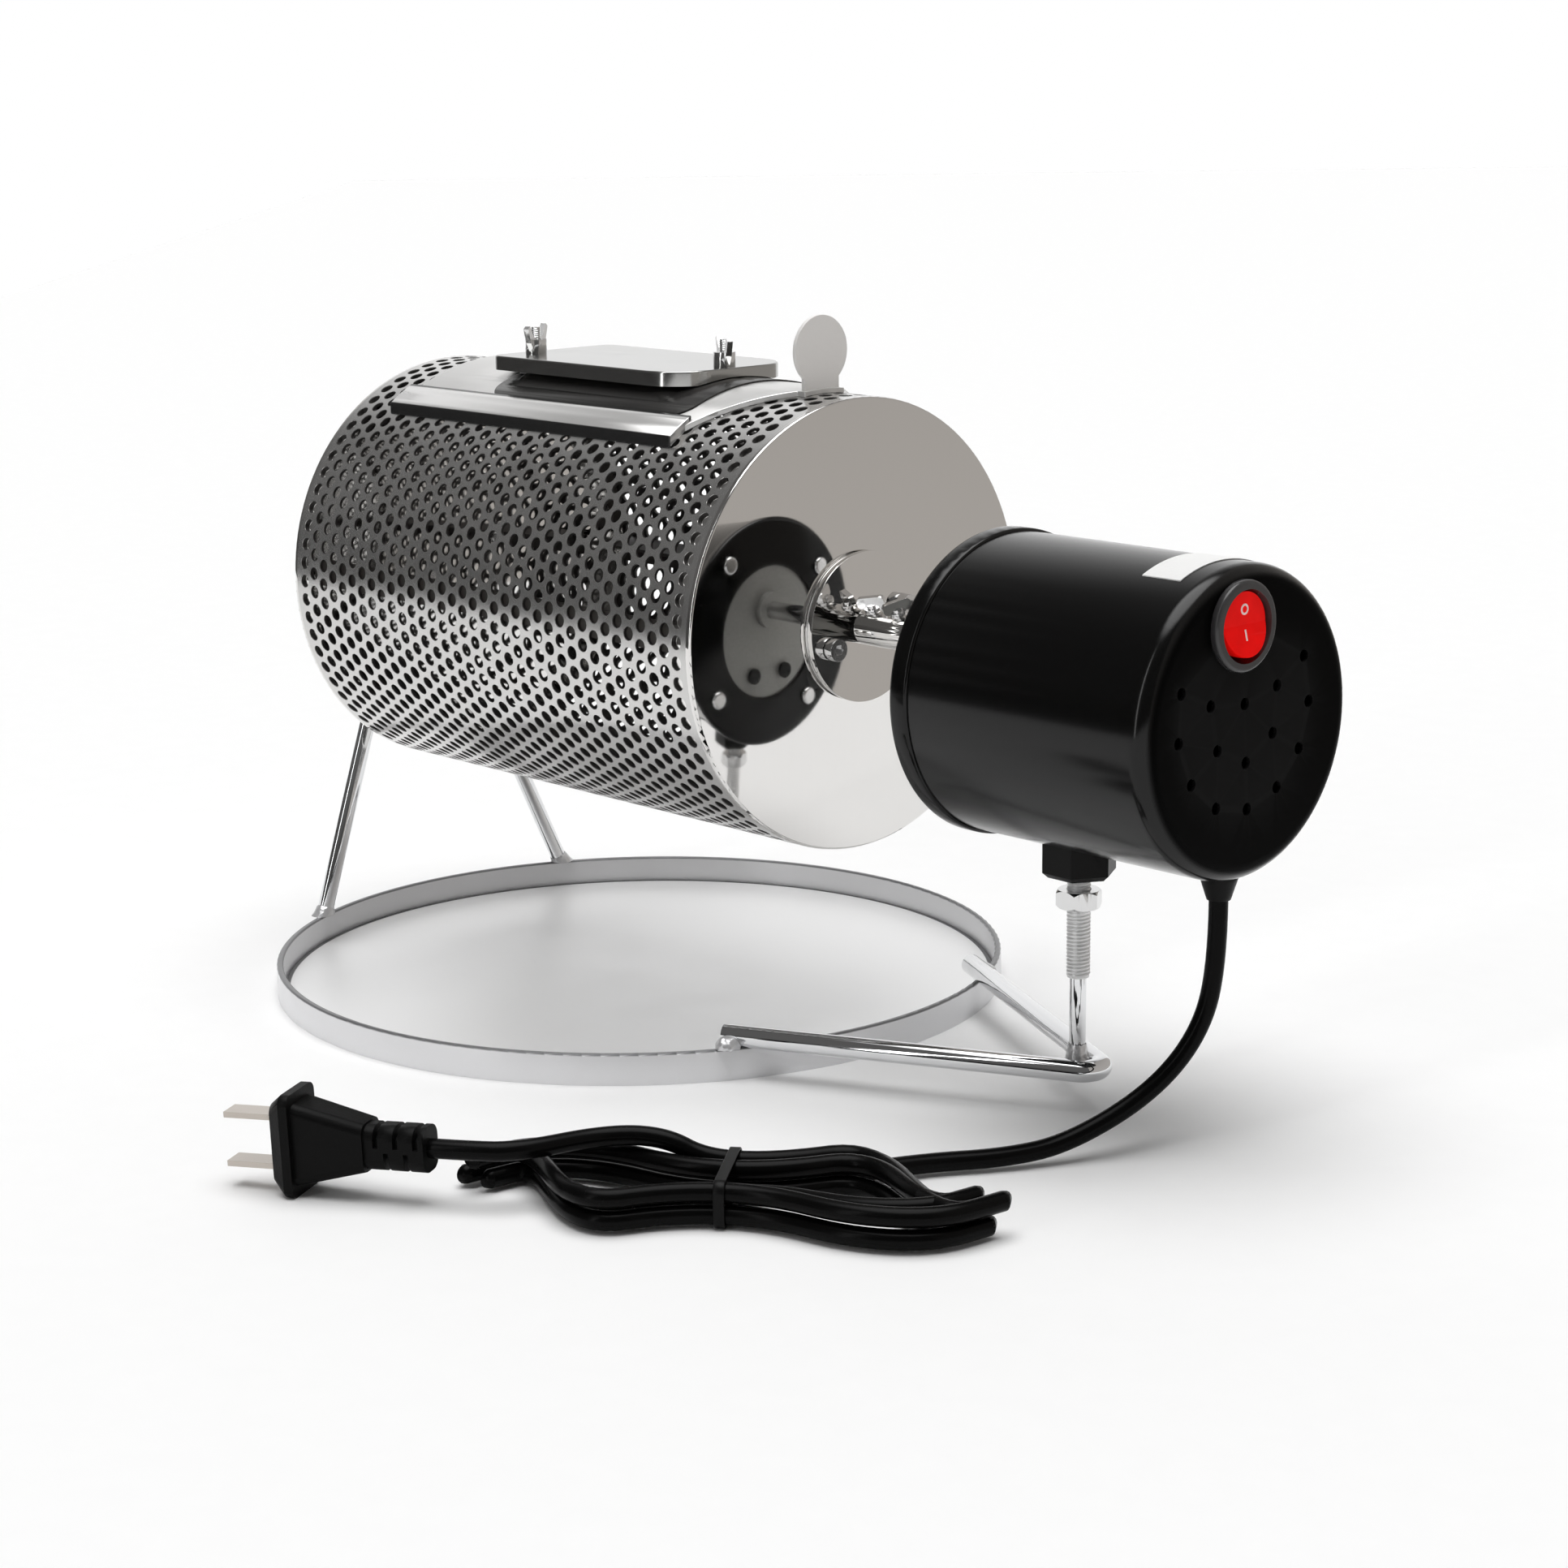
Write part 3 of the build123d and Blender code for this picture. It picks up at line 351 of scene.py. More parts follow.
@dataclass(frozen=True)
class ShadeLinedSteel(Steel):
    """Steel with a painted shade line: the outer margin of a disc, or the upper face of a band, turned
    grey-black.
    """

    # colour of the painted shade line
    cut: Colour = (0.15, 0.15, 0.155)
    margin: float = 0.0
    brink: float = 0.0
    blur: float = 0.0002

    def surface(self, graph: Graph) -> dict[str, object]:
        """Inputs of the main shader.

        Args:
            graph: The material's graph.

        Returns:
            The inputs by name.
        """
        inputs = super().surface(graph)
        # painted shade: the disc's outer margin where it meets the band, or the band's upper face
        if self.margin:
            low, high = self.margin - self.blur, self.margin + self.blur
            edge = graph.square("X", "Y").step(low**2, high**2)
        else:
            edge = graph.coordinate("Z").step(self.brink - self.blur, self.brink + self.blur)
        inputs["Base Color"] = graph.blend(edge, inputs["Base Color"], self.cut)
        return inputs


@dataclass(frozen=True)
class FoldedSteel(Steel):
    """Folded rail with painted shade along its inner fold and its outer face."""

    # colour of the painted shade at the inner fold and the outer face
    fold: Colour = (0.045, 0.045, 0.045)
    inner: float = 0.0
    outer: float = 1.0
    line: float = 1.2 * MM
    inner_shares: Pair = (0.6, 1.0)
    outer_shares: Pair = (0.5, 0.2)

    def surface(self, graph: Graph) -> dict[str, object]:
        """Inputs of the main shader.

        Args:
            graph: The material's graph.

        Returns:
            The inputs by name.
        """
        inputs = super().surface(graph)
        across = graph.coordinate("Y")
        square = across * across
        inside = square.step(*((self.inner + share * self.line) ** 2 for share in self.inner_shares))
        outside = square.step(*((self.outer - share * self.line) ** 2 for share in self.outer_shares))
        # painted shade near the inner fold and at the outer face
        dark = 1 - inside * (1 - outside)
        inputs["Base Color"] = graph.blend(dark, inputs["Base Color"], self.fold)
        return inputs


@dataclass(frozen=True)
class Enamel(Finish):
    """Sprayed gloss paint with orange peel, dust and rubbed edges; an end face at face_x is left dull."""

    peel: float = 0.000003
    gloss: float = 0.16
    face_x: float = 10.0
    face_span: Pair = (1.2 * MM, 0.2 * MM)
    peel_scale: float = 420.0
    dust_scale: float = 2400.0
    dust_span: Pair = (0.70, 0.78)
    haze_scale: float = 30.0
    edge_span: Pair = (0.56, 0.66)
    base_shine: float = 0.02
    coat_ior: float = 1.36

    def surface(self, graph: Graph) -> dict[str, object]:
        """Inputs of the main shader.

        Args:
            graph: The material's graph.

        Returns:
            The inputs by name.
        """
        peel = graph.noise(self.peel_scale)
        dust = graph.noise(self.dust_scale, detail=1.0).step(*self.dust_span)
        haze = graph.noise(self.haze_scale, detail=3.0)
        edge = graph.node("NewGeometry", output="Pointiness").step(*self.edge_span)
        worn = tuple(value + 0.02 for value in self.colour)
        dusty = tuple(value + 0.006 for value in self.colour)
        base = graph.blend(dust * 0.5, self.colour, dusty)
        side = 1 - graph.coordinate("X").step(*(self.face_x - inset for inset in self.face_span))
        return {
            "Base Color": graph.blend(edge * 0.5, base, worn),
            "Roughness": haze * 0.06 + dust * 0.1 + (self.roughness - 0.03),
            "Specular IOR Level": self.base_shine,
            "Coat Weight": side * (1 - dust * 0.2),
            "Coat Roughness": self.gloss,
            "Coat IOR": self.coat_ior,
            "Normal": graph.bump(peel, self.peel),
        }


@dataclass(frozen=True)
class Moulded(Finish):
    """Moulded plastic or rubber with a fine spark-eroded skin."""

    skin: float = 0.00002
    skin_scale: float = 2200.0
    shine: float = 0.5
    variation: float = 0.25
    cloud_scale: float = 60.0

    def surface(self, graph: Graph) -> dict[str, object]:
        """Inputs of the main shader.

        Args:
            graph: The material's graph.

        Returns:
            The inputs by name.
        """
        skin = graph.noise(self.skin_scale)
        cloud = graph.noise(self.cloud_scale, detail=3.0)
        pale = tuple(value * (1 + self.variation) + 0.001 for value in self.colour)
        return {
            "Base Color": graph.blend(cloud * 0.7 + skin * 0.3, self.colour, pale),
            "Roughness": cloud * 0.08 + skin * 0.08 + (self.roughness - 0.08),
            "Specular IOR Level": self.shine,
            "Normal": graph.bump(skin, self.skin),
        }


@dataclass(frozen=True)
class GlowPaintedPlastic(Finish):
    """Clear coloured plastic with painted light: it emits its own tint, standing in for light passing through
    it.
    """

    # strength of the painted glow
    painted_glow: float = 0.34
    shine: float = 0.05
    cloud_scale: float = 160.0
    deepening: float = 0.72

    def surface(self, graph: Graph) -> dict[str, object]:
        """Inputs of the main shader.

        Args:
            graph: The material's graph.

        Returns:
            The inputs by name.
        """
        cloud = graph.noise(self.cloud_scale)
        deep = tuple(value * self.deepening for value in self.colour)
        tint = graph.blend(cloud, self.colour, deep)
        return {
            "Base Color": tint,
            "Roughness": cloud * 0.06 + self.roughness,
            # painted glow: the tint is emitted, though the switch holds no lamp
            "Emission Color": tint,
            "Emission Strength": self.painted_glow,
            "Specular IOR Level": self.shine,
        }


@dataclass(frozen=True)
class Paper(Finish):
    """Thin white sticker with a faint fibre."""

    fibre_scale: tuple[float, float, float] = (900.0, 3200.0, 3200.0)
    fibre_depth: float = 0.01 * MM
    fibre_grey: float = 0.9

    def surface(self, graph: Graph) -> dict[str, object]:
        """Inputs of the main shader.

        Args:
            graph: The material's graph.

        Returns:
            The inputs by name.
        """
        fibre = graph.noise(self.fibre_scale, detail=3.0)
        grey = tuple(value * self.fibre_grey for value in self.colour)
        return {
            "Base Color": graph.blend(fibre, self.colour, grey),
            "Roughness": fibre * 0.15 + self.roughness,
            "Normal": graph.bump(fibre, self.fibre_depth),
        }


POLISHED = (0.79, 0.78, 0.765)
JET = (0.0015, 0.0015, 0.0015)

MIRROR_STEEL = Steel(
    "mirror_steel", "mirror_steel", POLISHED, 0.035, Grain.ALONG_Z, line_depth=0.000001, smudge=0.02
)
DISC_STEEL = replace(MIRROR_STEEL, name="disc_steel", dome=0.42)
SADDLE_STEEL = Steel(
    "saddle_steel", "mirror_steel", (0.73, 0.725, 0.715), 0.30, Grain.ALONG_X,
    line_depth=0.0000008, smudge=0.04, tone=0.03, metal=0.72,
)
# rail with painted shade lines along its inner fold and outer face
RAIL_STEEL = FoldedSteel(
    "rail_steel", "mirror_steel", (0.78, 0.775, 0.765), 0.16, Grain.ALONG_X,
    line_depth=0.0000008, smudge=0.03, metal=0.6,
    inner=-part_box("hatch_rail_near")[1].y, outer=-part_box("hatch_rail_near")[0].y,
)
LID_STEEL = Steel(
    "lid_steel", "mirror_steel", (0.44, 0.44, 0.43), 0.14, Grain.ALONG_X, line_depth=0.000001, smudge=0.03
)
TAB_STEEL = Steel("tab_steel", "mirror_steel", (0.97, 0.95, 0.93), 0.34, line_depth=0.000002, metal=0.2)
# drum sheet whose inside face and hole walls carry painted shade
DRUM_STEEL = PunchedSteel(
    "drum_steel", "perforated_steel", (0.66, 0.655, 0.645), 0.21, Grain.ALONG_X,
    line_depth=0.000003, metal=0.92,
)
# vanes inside the drum are near black: painted shade, the same tint as the drum's inside
SHADED_VANE_STEEL = Steel("vane_steel", "plain_steel", (0.05, 0.045, 0.04), 0.5, smudge=0.1, tone=0.3, metal=0.3)
PLAIN_STEEL = Steel("plain_steel", "plain_steel", (0.74, 0.74, 0.74), 0.15)
THREAD_STEEL = Steel("thread_steel", "plain_steel", (0.95, 0.95, 0.95), 0.30, metal=0.3)
BLADE_METAL = Steel("blade_metal", "plain_steel", (0.56, 0.51, 0.46), 0.30, metal=0.8)
# near-black steel neck under the lid: painted shade
SHADED_NECK_STEEL = Steel("neck_steel", "plain_steel", (0.05, 0.049, 0.047), 0.22, metal=0.7)
CHROME = Steel(
    "chrome", "chrome_rod", (0.76, 0.765, 0.775), 0.05, line_depth=0.000001, smudge=0.03, tone=0.03
)
WELD_METAL = Steel(
    "weld_metal", "chrome_rod", (0.80, 0.80, 0.81), 0.30,
    line_depth=0.00002, smudge=0.1, tone=0.2, metal=0.6,
)
# tray ring whose upper face carries a painted shade line
BAND_STEEL = ShadeLinedSteel(
    "band_steel", "chrome_rod", (0.91, 0.91, 0.925), 0.28,
    line_depth=0.000001, smudge=0.04, tone=0.03, metal=0.1,
    brink=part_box("tray_ring")[1].z - 0.5 * MM,
)
# pan whose outer margin carries a painted shade line where it meets the ring
PAN_STEEL = ShadeLinedSteel(
    "pan_steel", "pan_steel", (0.95, 0.95, 0.95), 0.44, Grain.ALONG_X,
    line_depth=0.0000003, smudge=0.03, tone=0.04, metal=0.75,
    margin=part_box("tray_pan")[1].x - 1.4 * MM,
)
GEAR_ALLOY = Steel(
    "gear_alloy", "gear_alloy", (0.42, 0.42, 0.405), 0.45,
    line_depth=0.00002, smudge=0.08, tone=0.5, metal=0.8,
)
BRASS = Steel("bush_brass", "brass_bush", (0.72, 0.54, 0.26), 0.25)
BLACK_ENAMEL = Enamel("black_enamel", "black_enamel", JET, 0.34, face_x=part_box("motor_can")[1].x)
COVER_ENAMEL = Enamel("cover_enamel", "black_enamel", JET, 0.30)
BLACK_PLASTIC = Moulded("black_plastic", "black_plastic", (0.003, 0.003, 0.003), 0.34, shine=0.12)
BEZEL_PLASTIC = Moulded("bezel_plastic", "black_plastic", (0.030, 0.029, 0.030), 0.24, skin=0.000008)
# red rocker with a painted glow
RED_PLASTIC = GlowPaintedPlastic("red_plastic", "red_plastic", (0.80, 0.005, 0.004), 0.14)
MARK_WHITE = Moulded("mark_white", "white_label", (0.88, 0.70, 0.68), 0.4, skin=0.000002)
LABEL_PAPER = Paper("label_paper", "white_label", (0.90, 0.90, 0.89), 0.45)
SEAL_RUBBER = Moulded("seal_rubber", "seal_rubber", (0.006, 0.006, 0.006), 0.6, skin=0.00003, shine=0.15)
CORD_RUBBER = Moulded(
    "cord_rubber", "cord_rubber", (0.002, 0.002, 0.002), 0.25, skin=0.000015, skin_scale=1500.0, shine=0.07
)
PLUG_RUBBER = Moulded(
    "plug_rubber", "cord_rubber", (0.003, 0.003, 0.003), 0.42, skin=0.00003, skin_scale=1800.0, shine=0.08
)


def along_x(x: float, y: float, z: float) -> Matrix:
    """Frame at a point whose Z axis runs along the object's +X and whose Y axis is up."""
    return Matrix(((0, 0, 1, x), (1, 0, 0, y), (0, 1, 0, z), (0, 0, 0, 1)))


def circle(radius: float, sides: int) -> list[Pair]:
    """Points of a circle about the origin."""
    turns = [2 * math.pi * side / sides for side in range(sides)]
    return [(radius * math.cos(turn), radius * math.sin(turn)) for turn in turns]


class Shape:
    """Points and faces of one mesh, gathered before it becomes a piece."""

    thread_sides = 28
    rows_per_turn = 8

    def __init__(self) -> None:
        """Start with nothing."""
        self.points: list[Vector] = []
        self.faces: list[tuple[int, ...]] = []

    def add(self, points: Iterable[Vector], faces: Iterable[Sequence[int]]) -> "Shape":
        """Take over points and faces.

        Args:
            points: New points.
            faces: New faces, numbered from the first new point.

        Returns:
            The shape itself.
        """
        base = len(self.points)
        self.points += points
        self.faces += [tuple(base + index for index in face) for face in faces]
        return self

    def skin(self, rings: Sequence[Sequence[Vector]]) -> "Shape":
        """Join a run of equal rings with quads.

        Args:
            rings: Rings with the same number of points, each closed on itself.

        Returns:
            The shape itself.
        """
        count = len(rings[0])
        faces = []
        for near in range(0, (len(rings) - 1) * count, count):
            far = near + count
            for spot in range(count):
                after = (spot + 1) % count
                faces.append((near + spot, near + after, far + after, far + spot))
        return self.add([point for ring in rings for point in ring], faces)

    def plate(
        self, outline: Sequence[Pair], holes: Sequence[Sequence[Pair]], thickness: float, place: Matrix
    ) -> "Shape":
        """Flat sheet with holes.

        Args:
            outline: Outer edge in the sheet's own two directions.
            holes: Edges of the holes.
            thickness: Thickness of the sheet.
            place: Frame whose X and Y axes are the sheet's directions.

        Returns:
            The shape itself.
        """
        flat = bmesh.new()
        for edge in (outline, *holes):
            corners = [flat.verts.new((x, y, 0)) for x, y in edge]
            for index, corner in enumerate(corners):
                flat.edges.new((corner, corners[(index + 1) % len(corners)]))
        bmesh.ops.triangle_fill(flat, edges=flat.edges[:], use_beauty=True, normal=(0, 0, 1))
        flat.verts.index_update()
        count = len(flat.verts)
        spots = [vert.co.copy() for vert in flat.verts]
        faces: list[Sequence[int]] = []
        for face in flat.faces:
            ring = [vert.index for vert in face.verts]
            faces.append(ring)
            faces.append([count + index for index in reversed(ring)])
        for edge in flat.edges:
            if edge.is_boundary:
                a, b = (vert.index for vert in edge.verts)
                faces.append((a, b, count + b, count + a))
        flat.free()
        lift = Vector((0, 0, thickness))
        top = [place @ (spot + lift) for spot in spots]
        return self.add(top + [place @ spot for spot in spots], faces)

    def thread(self, place: Matrix, radius: float, pitch: float, length: float, depth: float) -> "Shape":
        """Screw thread from the frame's origin along its Z axis, with a bevelled start and end.

        Args:
            place: Frame of the thread.
            radius: Its outer radius.
            pitch: Rise of one turn.
            length: Length along the axis.
            depth: Depth of the groove.

        Returns:
            The shape itself.
        """
        sides = self.thread_sides
        rows = max(self.rows_per_turn, round(length / pitch * self.rows_per_turn))
        rings = [[place @ Vector((0, 0, 0))] * sides]
        for row in range(rows + 1):
            along = length * row / rows
            ring = []
            for side in range(sides):
                turn = side / sides
                phase = (along / pitch - turn) % 1.0
                groove = abs(2 * phase - 1)
                taper = min(1.0, along / pitch, (length - along) / pitch)
                reach = radius - depth * (1 - groove * taper)
                angle = 2 * math.pi * turn
                ring.append(place @ Vector((reach * math.cos(angle), reach * math.sin(angle), along)))
            rings.append(ring)
        rings.append([place @ Vector((0, 0, length))] * sides)
        return self.skin(rings)

    def piece(self, name: str, sharp: float = 35.0) -> bpy.types.Object:
        """New object with a clean mesh and smooth faces.

        Args:
            name: Name of the object and its mesh.
            sharp: Angle in degrees above which an edge is hard.

        Returns:
            The object.
        """
        made = bpy.data.meshes.new(name)
        made.from_pydata(self.points, [], self.faces)
        tidy = bmesh.new()
        tidy.from_mesh(made)
        bmesh.ops.remove_doubles(tidy, verts=tidy.verts[:], dist=MERGE_GAP)
        bmesh.ops.dissolve_degenerate(tidy, edges=tidy.edges[:], dist=SLIVER)
        bmesh.ops.recalc_face_normals(tidy, faces=tidy.faces[:])
        tidy.to_mesh(made)
        tidy.free()
        made.shade_smooth()
        made.set_sharp_from_angle(angle=math.radians(sharp))
        return bpy.data.objects.new(name, made)


def soften(piece: bpy.types.Object, edge: Edge) -> None:
    """Round off the hard edges of a piece.

    Args:
        piece: Object to work on.
        edge: Width of the rounding.
    """
    bevel = piece.modifiers.new("edges", "BEVEL")
    bevel.width = edge.value
    bevel.segments = 2
    bevel.limit_method = "ANGLE"
    bevel.angle_limit = math.radians(BEVEL_ANGLE)
    bevel.harden_normals = True
    bevel.use_clamp_overlap = True


def settle(piece: bpy.types.Object, body: Body, finish: Finish, *stands_for: str) -> None:
    """Give a new piece its finish and let it ride on its body.

    Args:
        piece: Object in place in the shared frame.
        body: Body that carries it.
        finish: Surface finish.
        stands_for: Nodes that it takes the place of.
    """
    bpy.context.scene.collection.objects.link(piece)
    piece.data.materials.append(finish.material())
    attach(piece, body.value)
    if stands_for:
        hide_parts(*stands_for)
    LOG.info("piece %s on %s, for %s", piece.name, body.value, ", ".join(stands_for) or "nothing")


def dress(finish: Finish, edge: Edge, *nodes: str) -> None:
    """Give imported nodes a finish, merged corners and softened edges.

    Args:
        finish: Surface finish.
        edge: Width by which hard edges are rounded.
        nodes: Names of the nodes.
    """
    for name in nodes:
        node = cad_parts[name]
        node.data.materials.clear()
        node.data.materials.append(finish.material())
        weld = node.modifiers.new("joined", "WELD")
        weld.merge_threshold = JOIN_GAP
        if edge.value:
            soften(node, edge)
        split = node.modifiers.new("hard_edges", "EDGE_SPLIT")
        split.split_angle = math.radians(SPLIT_ANGLE)
        LOG.info("node %s in %s", name, finish.name)


@dataclass
class Studio:
    """Camera, floor and light."""

    eye: Vector = field(default_factory=lambda: Vector((0.72711, -0.61253, 0.27752)))
    yaw: float = 47.21
    pitch: float = 12.97
    roll: float = -0.66
    focal_pixels: float = 3972.7
    frame_pixels: float = 1932.0
    floor_half: float = 6.0
    floor_left: float = 0.85
    card_distance: float = 0.42
    card_size: Pair = (1.5, 0.9)
    card_heading: Pair = (0.72, 0.69)
    card_fade: Pair = (0.0, 0.7)
    card_tints: tuple[Colour, Colour] = ((0.47, 0.445, 0.42), (0.39, 0.37, 0.35))
    floor_tints: tuple[Colour, Colour] = ((0.93, 0.93, 0.93), (0.91, 0.91, 0.91))
    wall_fade: Pair = (0.0, 0.3)
    wall_tints: tuple[Colour, Colour] = ((0.060, 0.059, 0.058), (0.115, 0.113, 0.111))
    backdrop_fade: Pair = (0.45, 0.95)
    overhead_fade: Pair = (0.84, 0.95)
    overhead_light: Colour = (4.35, 4.35, 4.35)
    strip_width: Pair = (0.0004, 0.002)
    strip_fade: Pair = (0.55, 0.8)
    strip_light: Colour = (6.0, 6.0, 6.0)

    def heading(self) -> Vector:
        """Direction in which the camera looks."""
        yaw, pitch = math.radians(self.yaw), math.radians(self.pitch)
        return Vector((-math.sin(yaw) * math.cos(pitch), math.cos(yaw) * math.cos(pitch), -math.sin(pitch)))

    def forward(self) -> Vector:
        """Direction in which the camera looks, level with the floor."""
        ahead = self.heading()
        return Vector((ahead.x, ahead.y, 0)).normalized()

    def camera(self) -> None:
        """Stand the camera where the photograph was taken."""
        data = bpy.data.cameras.new("photo_camera")
        data.sensor_width = 36.0
        data.lens = self.focal_pixels / self.frame_pixels * data.sensor_width
        data.clip_start, data.clip_end = 0.01, 60.0
        ahead = self.heading()
        right = ahead.cross(Vector((0, 0, 1))).normalized()
        up = right.cross(ahead)
        roll = math.radians(self.roll)
        turned_right = right * math.cos(roll) + up * math.sin(roll)
        turned_up = up * math.cos(roll) - right * math.sin(roll)
        rows = Matrix((turned_right, turned_up, -ahead)).transposed().to_4x4()
        camera = bpy.data.objects.new("photo_camera", data)
        camera.matrix_world = Matrix.Translation(self.eye) @ rows
        bpy.context.scene.collection.objects.link(camera)
        bpy.context.scene.camera = camera

    def sheet(self, name: str, corners: Sequence[Vector], surface: bpy.types.Material) -> bpy.types.Object:
        """Flat stage piece.

        Args:
            name: Name of the piece.
            corners: Its four corners.
            surface: Its material.

        Returns:
            The piece.
        """
        mesh = bpy.data.meshes.new(name)
        mesh.from_pydata(list(corners), [], [(0, 1, 2, 3)])
        mesh.materials.append(surface)
        piece = bpy.data.objects.new(name, mesh)
        bpy.context.scene.collection.objects.link(piece)
        return piece

    def floor(self) -> None:
        """Plain pale floor."""
        surface, graph = new_material("floor_paint")
        tint = graph.blend(graph.noise(90.0, detail=3.0), *self.floor_tints)
        shader = graph.node("BsdfDiffuse", None, {"Color": tint})
        graph.node("OutputMaterial", None, {"Surface": shader})
        ahead = self.forward()
        right = ahead.cross(Vector((0, 0, 1)))
        near, far = ahead * -self.floor_half, ahead * self.floor_half
        left_edge, right_edge = right * -self.floor_left, right * self.floor_half
        corners = [near + left_edge, near + right_edge, far + right_edge, far + left_edge]
        self.sheet("floor", corners, surface)

    def card(self) -> None:
        """Warm grey card beside the front disc, which only polished metal shows."""
        surface, graph = new_material("grey_card")
        tint = graph.blend(graph.coordinate("Z").step(*self.card_fade), *self.card_tints)
        shader = graph.node("Emission", None, {"Color": tint, "Strength": 1.0})
        graph.node("OutputMaterial", None, {"Surface": shader})
        ahead = Vector((*self.card_heading, 0)).normalized()
        across = Vector((-ahead.y, ahead.x, 0))
        foot = Vector((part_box("front_disc")[1].x, 0, 0)) + ahead * self.card_distance
        half, tall = across * (self.card_size[0] / 2), Vector((0, 0, self.card_size[1]))
        corners = [foot - half, foot + half, foot + half + tall, foot - half + tall]
        card = self.sheet("grey_card", corners, surface)
        card.visible_camera = False
        card.visible_diffuse = False
        card.visible_shadow = False

    def sky(self) -> None:
        """Grey room with a white backdrop and one wide soft light overhead."""
        world = bpy.data.worlds.new("studio")
        bpy.context.scene.world = world
        world.use_nodes = True
        graph = Graph(world.node_tree)
        ray = graph.node("TexCoord", output="Generated")
        across, depth, level = (graph.node("SeparateXYZ", None, {0: ray}, axis) for axis in "XYZ")
        facing = graph.node("VectorMath", {"operation": "DOT_PRODUCT"}, {0: ray, 1: self.forward()}, "Value")
        strip = (1 - (across * across).step(*self.strip_width)) * (0 - depth).step(*self.strip_fade)
        walls = graph.blend(level.step(*self.wall_fade), *self.wall_tints)
        lit_walls = graph.blend(strip, walls, self.strip_light)
        room = graph.blend(facing.step(*self.backdrop_fade), lit_walls, WHITE)
        light = graph.blend(level.step(*self.overhead_fade), room, self.overhead_light)
        seen = graph.node("LightPath", output="Is Camera Ray")
        shown = graph.blend(seen, light, WHITE)
        shader = graph.node("Background", None, {"Color": shown, "Strength": 1.0})
        graph.node("OutputWorld", None, {"Surface": shader})

    def build(self) -> None:
        """Set up the whole stage."""
        self.camera()
        self.floor()
        self.card()
        self.sky()
        bpy.context.scene.view_settings.view_transform = "Standard"


